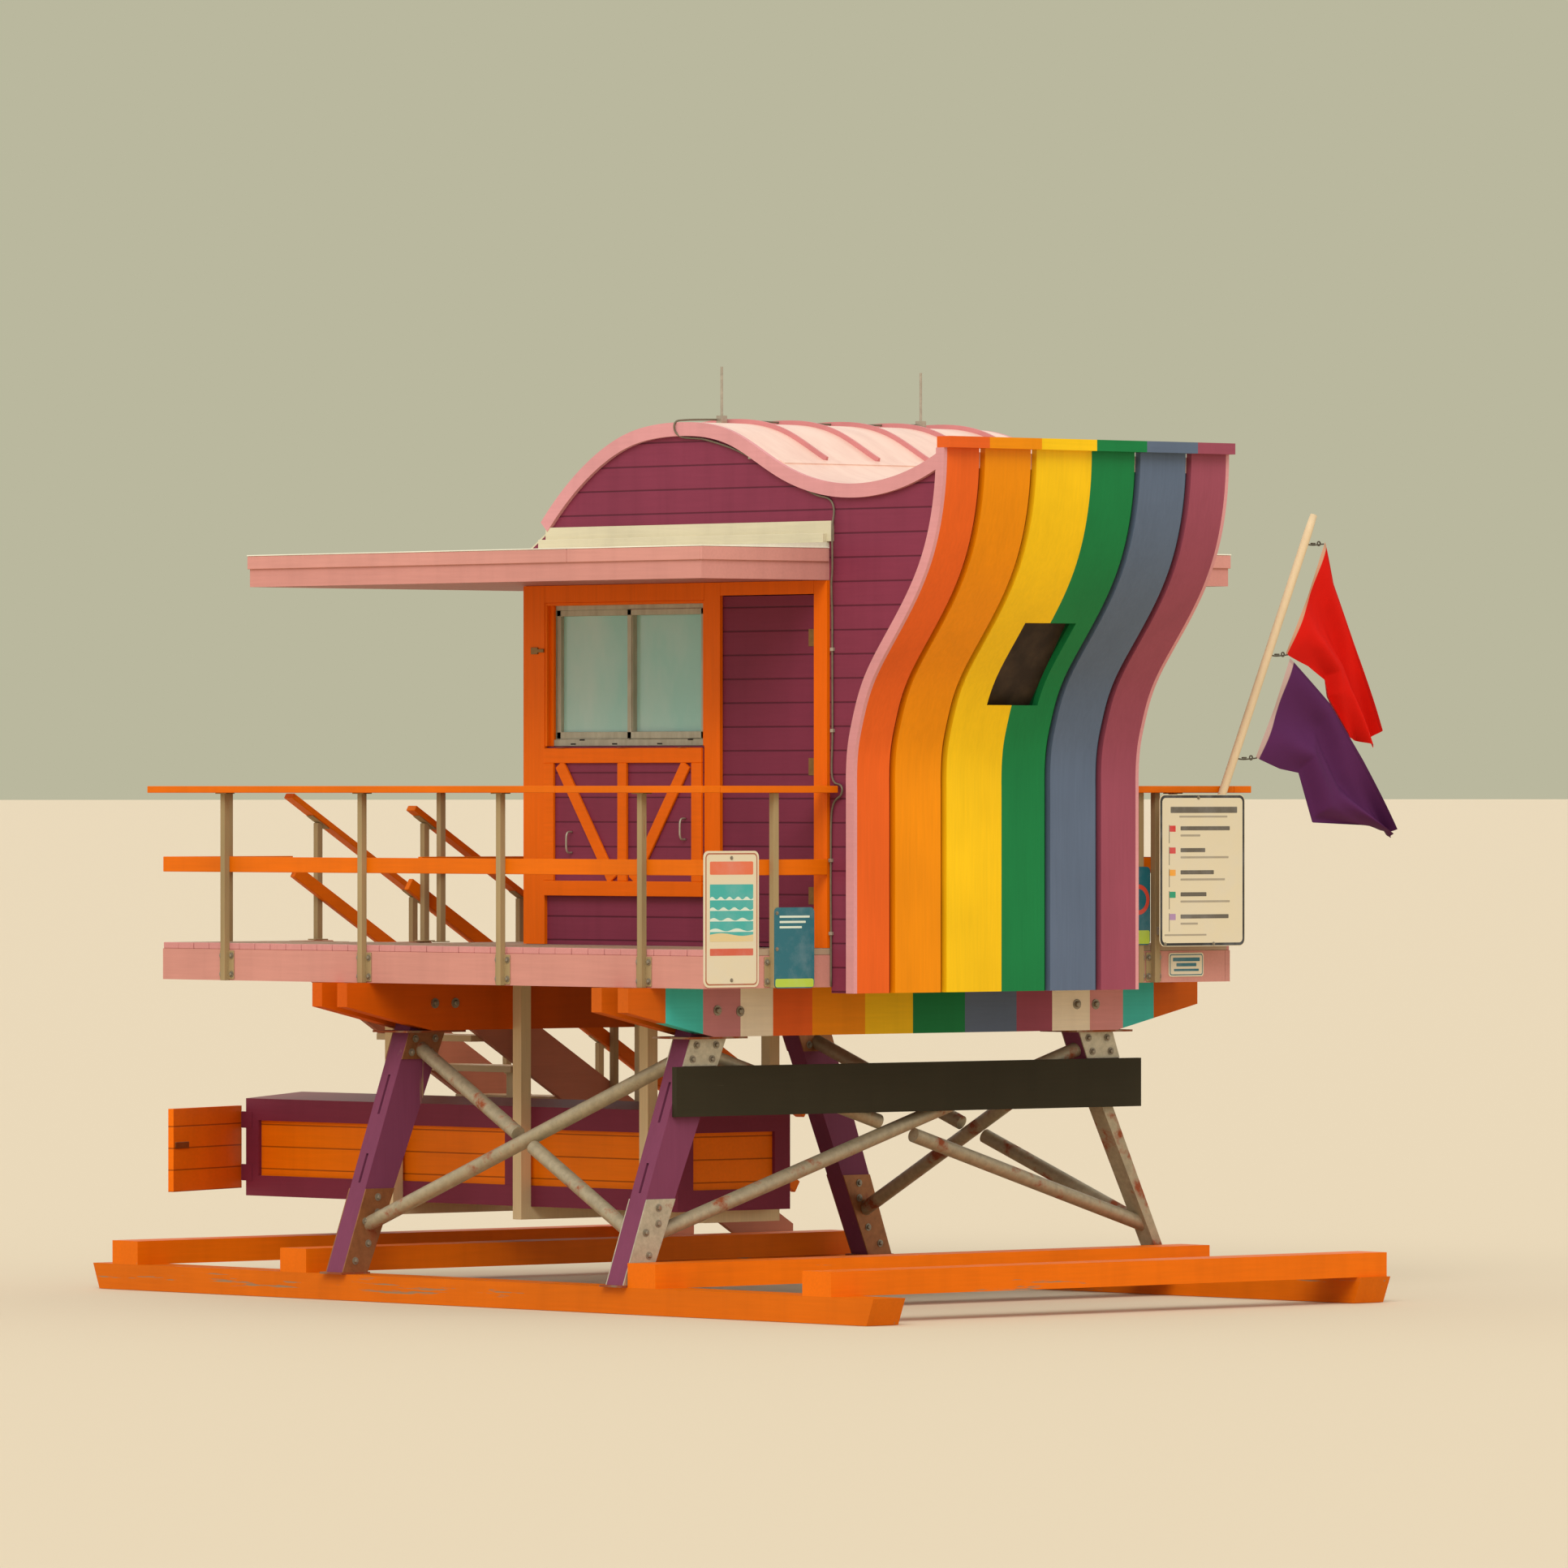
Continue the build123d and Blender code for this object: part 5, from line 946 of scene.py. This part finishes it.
def pole_place(z):
    """The pole's middle at a height above the deck."""
    share = (z - pole_foot[1]) / (pole_top[1] - pole_foot[1])
    return at(POLE_X, pole_foot[0] + share * (pole_top[0] - pole_foot[0]), z)


pole_wood = paint("pole_pale", tint(222, 196, 156), "z", 0.22, rough=0.6, under=tint(180, 156, 124))
pole_path = np.array([pole_place(z) for z in np.linspace(pole_foot[1], pole_top[1], 24)])
pole_thick = np.interp(np.linspace(0, 1, 24), [0, 0.96, 1], [0.025, 0.025, 0.021])
pole = rods("pole", [pole_path], pole_thick, pole_wood, sides=20)
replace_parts(pole, "flagpole")
boards("pole_strap", [cuboid(4.917, 4.975, 3.506, 3.626, 0.055, 0.105)], galvanised)
hooks = []
turn = np.linspace(0, 2 * np.pi, 17)[:-1]
for corner_y, corner_z in ((4.802, 2.367), (4.506, 1.708), (4.250, 1.097)):
    start, end = pole_place(corner_z), at(POLE_X, corner_y, corner_z)
    hooks.append(smooth_path([start, start * 0.6 + end * 0.4 + [0, 0, -0.010], end + [0, 0, -0.002]], 5))
    for k in range(2):
        centre = start * (0.55 - 0.3 * k) + end * (0.45 + 0.3 * k)
        upright = [0, 0, 1] if k else [1, 0, 0]
        ring = centre + 0.012 * (np.cos(turn)[:, None] * [0, 1, 0] + np.sin(turn)[:, None] * upright)
        hooks.append(np.vstack([ring, ring[:1]]))
hook_steel = paint("hook_steel", tint(92, 84, 72), "x", 0.10, rough=0.5)
rods("flag_hooks", hooks, 0.0045, hook_steel, sides=8)


def nylon(name, colour, tape):
    """Thin nylon: a fine square weave from two sines on the cloth's own width and length, a paler tape along
    the hoist and a darker hem along the top."""
    material, tree, shader = finish_of(name)
    flat = put(tree, "UVMap", uv_map="cloth")
    u = axis_value(tree, flat, "x")
    v = axis_value(tree, flat, "y")
    threads = [maths(tree, "SINE", maths(tree, "MULTIPLY", value, 2200.0)) for value in (u, v)]
    weave = maths(tree, "MULTIPLY", *threads)
    drift = speckle(tree, flat, (1, 1, 1), 3.0, 3.0)
    tone = ramp(tree, drift, 0.3, 0.7, 0.90, 1.08)
    base = shaded(tree, colour, tone)
    base = blend_colour(tree, ramp(tree, u, 0.022, 0.026, 1.0, 0.0), base, tape)
    hem = maths(tree, "MULTIPLY", maths(tree, "LESS_THAN", v, 0.02), 0.18)
    base = blend_colour(tree, hem, base, tint(20, 10, 20))
    tree.links.new(base, shader.inputs["Base Color"])
    shader.inputs["Roughness"].default_value = 0.75
    shader.inputs["Specular IOR Level"].default_value = 0.15
    relief(tree, shader, weave, 0.15, 0.0006)
    return material


def along_line(points, share):
    """Points at shares of a broken line's length."""
    p = np.array(points, float)
    far = np.concatenate([[0], np.cumsum(np.linalg.norm(np.diff(p, axis=0), axis=1))])
    return np.stack([np.interp(share * far[-1], far, p[:, k]) for k in range(2)], -1)


def flag(name, node, top, bottom, fly, hoist, flat, folds, depth, material):
    """A hung flag. Its edges in y and z are broken lines; inside, each point is the Coons blend of the four
    edges, and the cloth swings in x by a sine whose waves run from the hoist to the fly and grow with the
    distance from it, with a smaller second sine across."""
    rows, columns = 70, 90
    u, v = np.meshgrid(np.linspace(0, 1, columns), np.linspace(0, 1, rows))
    a, b = along_line(top, u), along_line(bottom, u)
    c, d = along_line(hoist, v), along_line(fly, v)
    p00, p10, p01, p11 = (np.array(p) for p in (top[0], top[-1], bottom[0], bottom[-1]))
    U, V = u[..., None], v[..., None]
    corners = (1 - U) * (1 - V) * p00 + U * (1 - V) * p10 + (1 - U) * V * p01 + U * V * p11
    face = (1 - V) * a + V * b + (1 - U) * c + U * d - corners
    swing = depth * np.sqrt(u) * (1 - 0.25 * u) * np.sin(2 * np.pi * (folds * v + 0.35 * u) + 0.6)
    swing += 0.25 * depth * u * np.sin(2 * np.pi * (2.3 * folds * v - 0.8 * u))
    lean = 0.35 * swing * np.sin(np.pi * u) * np.sin(np.pi * v)
    points = np.stack([POLE_X + swing, face[..., 0] + lean, face[..., 1] - 0.25 * lean], -1)
    points = points.reshape(-1, 3) + at(0, 0, 0)
    grid = np.arange(rows * columns).reshape(rows, columns)
    faces = np.stack([grid[:-1, :-1], grid[1:, :-1], grid[1:, 1:], grid[:-1, 1:]], -1).reshape(-1, 4).tolist()
    cloth = settle(name, points, faces, material, smooth=True)
    layer = cloth.data.uv_layers.new(name="cloth")
    used = np.zeros(len(cloth.data.loops), int)
    cloth.data.loops.foreach_get("vertex_index", used)
    uv = np.stack([u.ravel() * flat[0], v.ravel() * flat[1]], 1)[used]
    layer.data.foreach_set("uv", uv.ravel())
    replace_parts(cloth, node)


red_cloth = nylon("red_nylon", tint(210, 18, 3), tint(200, 150, 120))
purple_cloth = nylon("purple_nylon", tint(86, 35, 82), tint(190, 160, 150))
flag("red_flag_cloth", "red_flag",
     [(4.814, 2.377), (4.865, 2.130), (5.030, 1.760), (5.266, 1.260)],
     [(4.491, 1.714), (4.700, 1.640), (4.830, 1.560), (4.854, 1.452), (5.016, 1.231)],
     [(5.266, 1.260), (5.212, 1.158), (5.016, 1.231)], [(4.814, 2.377), (4.670, 2.050), (4.491, 1.714)],
     (0.91, 0.61), 1.6, 0.060, red_cloth)
flag("purple_flag_cloth", "purple_flag",
     [(4.524, 1.686), (4.833, 1.418), (5.097, 1.081), (5.389, 0.674)],
     [(4.243, 1.099), (4.457, 1.032), (4.618, 1.008), (4.745, 0.714), (5.266, 0.694)],
     [(5.389, 0.674), (5.368, 0.621), (5.266, 0.694)],
     [(4.524, 1.686), (4.400, 1.400), (4.243, 1.099)],
     (0.91, 0.61), 1.5, 0.060, purple_cloth)

# ---- Lightning rods and earth cable ----
# Two aluminium rods stand on the crest, joined by a twisted cable that comes down under the roof
# edge and the side of the land end, clipped every half metre.
dress(metal("rod_aluminium", tint(178, 168, 148), 0.1, 0.4, 0.7), "lightning_rods")
cable_points = [(3.56, 2.86, 3.062), (3.57, 2.3, 3.052), (3.56, 1.7, 3.056), (3.56, 1.29, 3.062),
                (3.56, 1.02, 3.055), (3.56, 0.946, 3.04), (3.56, 0.943, 2.99), (3.60, 0.960, 2.955),
                (3.70, 0.967, 2.945), (3.80, 0.967, 2.935), (4.015, 0.967, 2.885), (4.192, 0.967, 2.825),
                (4.367, 0.967, 2.750), (4.577, 0.967, 2.668), (4.752, 0.967, 2.600), (4.870, 0.967, 2.572),
                (4.911, 0.967, 2.510), (4.916, 0.950, 2.40), (4.916, 0.950, 2.175), (4.909, 0.950, 2.080),
                (4.897, 0.967, 1.900), (4.897, 0.967, 1.711), (4.899, 0.967, 1.246), (4.896, 0.967, 0.980),
                (4.985, 0.955, 0.930), (4.985, 0.955, 0.880), (4.896, 0.967, 0.800), (4.884, 0.967, 0.503),
                (4.886, 0.967, 0.085), (4.886, 0.967, -0.217)]
cable_grey = metal("cable_grey", tint(116, 104, 84), 0.2, 0.6, 0.3)
rods("earth_cable", [smooth_path([at(*p) for p in cable_points], 6)], 0.006, cable_grey, sides=8)
clip_runs = [cuboid(x - 0.012, x + 0.012, 0.959, 0.976, z - 0.010, z + 0.010) for x, z in
             ((4.897, 1.711), (4.898, 1.246), (4.884, 0.503), (4.886, 0.085), (4.192, 2.825), (4.577, 2.668))]
boards("cable_clips", clip_runs, galvanised, chamfer=0.001)

# ---- Floor, light and camera ----
# A plain pale floor under even, soft light, and a long lens far off at the height of the deck
# rail, which looks at the land end and the near side.
floor_paint, _, floor_shader = finish_of("pale_floor")
floor_shader.inputs["Base Color"].default_value = tint(214, 198, 168)
floor_shader.inputs["Roughness"].default_value = 0.95
span = 4000.0
floor_mesh = bpy.data.meshes.new("floor")
floor_corners = [(x * span, y * span, -0.002) for x, y in ((-1, -1), (1, -1), (1, 1), (-1, 1))]
floor_mesh.from_pydata(floor_corners, [], [(0, 1, 2, 3)])
floor_mesh.materials.append(floor_paint)
floor = bpy.data.objects.new("floor", floor_mesh)
bpy.context.scene.collection.objects.link(floor)

world = bpy.data.worlds.new("soft_sky")
world.use_nodes = True
sky = world.node_tree
background = sky.nodes["Background"]
seen = put(sky, "LightPath").node.outputs["Is Camera Ray"]      # the camera sees another tone than the tower
sky_colour = blend_colour(sky, seen, (0.87, 0.85, 0.82, 1), tint(186, 184, 158))
sky.links.new(sky_colour, background.inputs["Color"])
background.inputs["Strength"].default_value = 1.0
bpy.context.scene.world = world
sun_data = bpy.data.lights.new("soft_sun", "SUN")
sun_data.energy = 1.6
sun_data.angle = math.radians(35)
sun = bpy.data.objects.new("soft_sun", sun_data)
sun.rotation_euler = (math.radians(48), 0, math.radians(40))
bpy.context.scene.collection.objects.link(sun)

camera_data = bpy.data.cameras.new("camera")
camera_data.sensor_fit = "HORIZONTAL"
camera_data.sensor_width = 36.0
camera_data.lens = 275.56
camera_data.clip_end = 20000.0
camera = bpy.data.objects.new("camera", camera_data)
camera.location = at(55.902, -45.006, 0.889)
camera.rotation_euler = (math.radians(90 + 0.043), 0, math.radians(48.201))
bpy.context.scene.collection.objects.link(camera)
bpy.context.scene.camera = camera
bpy.context.scene.view_settings.view_transform = "Standard"
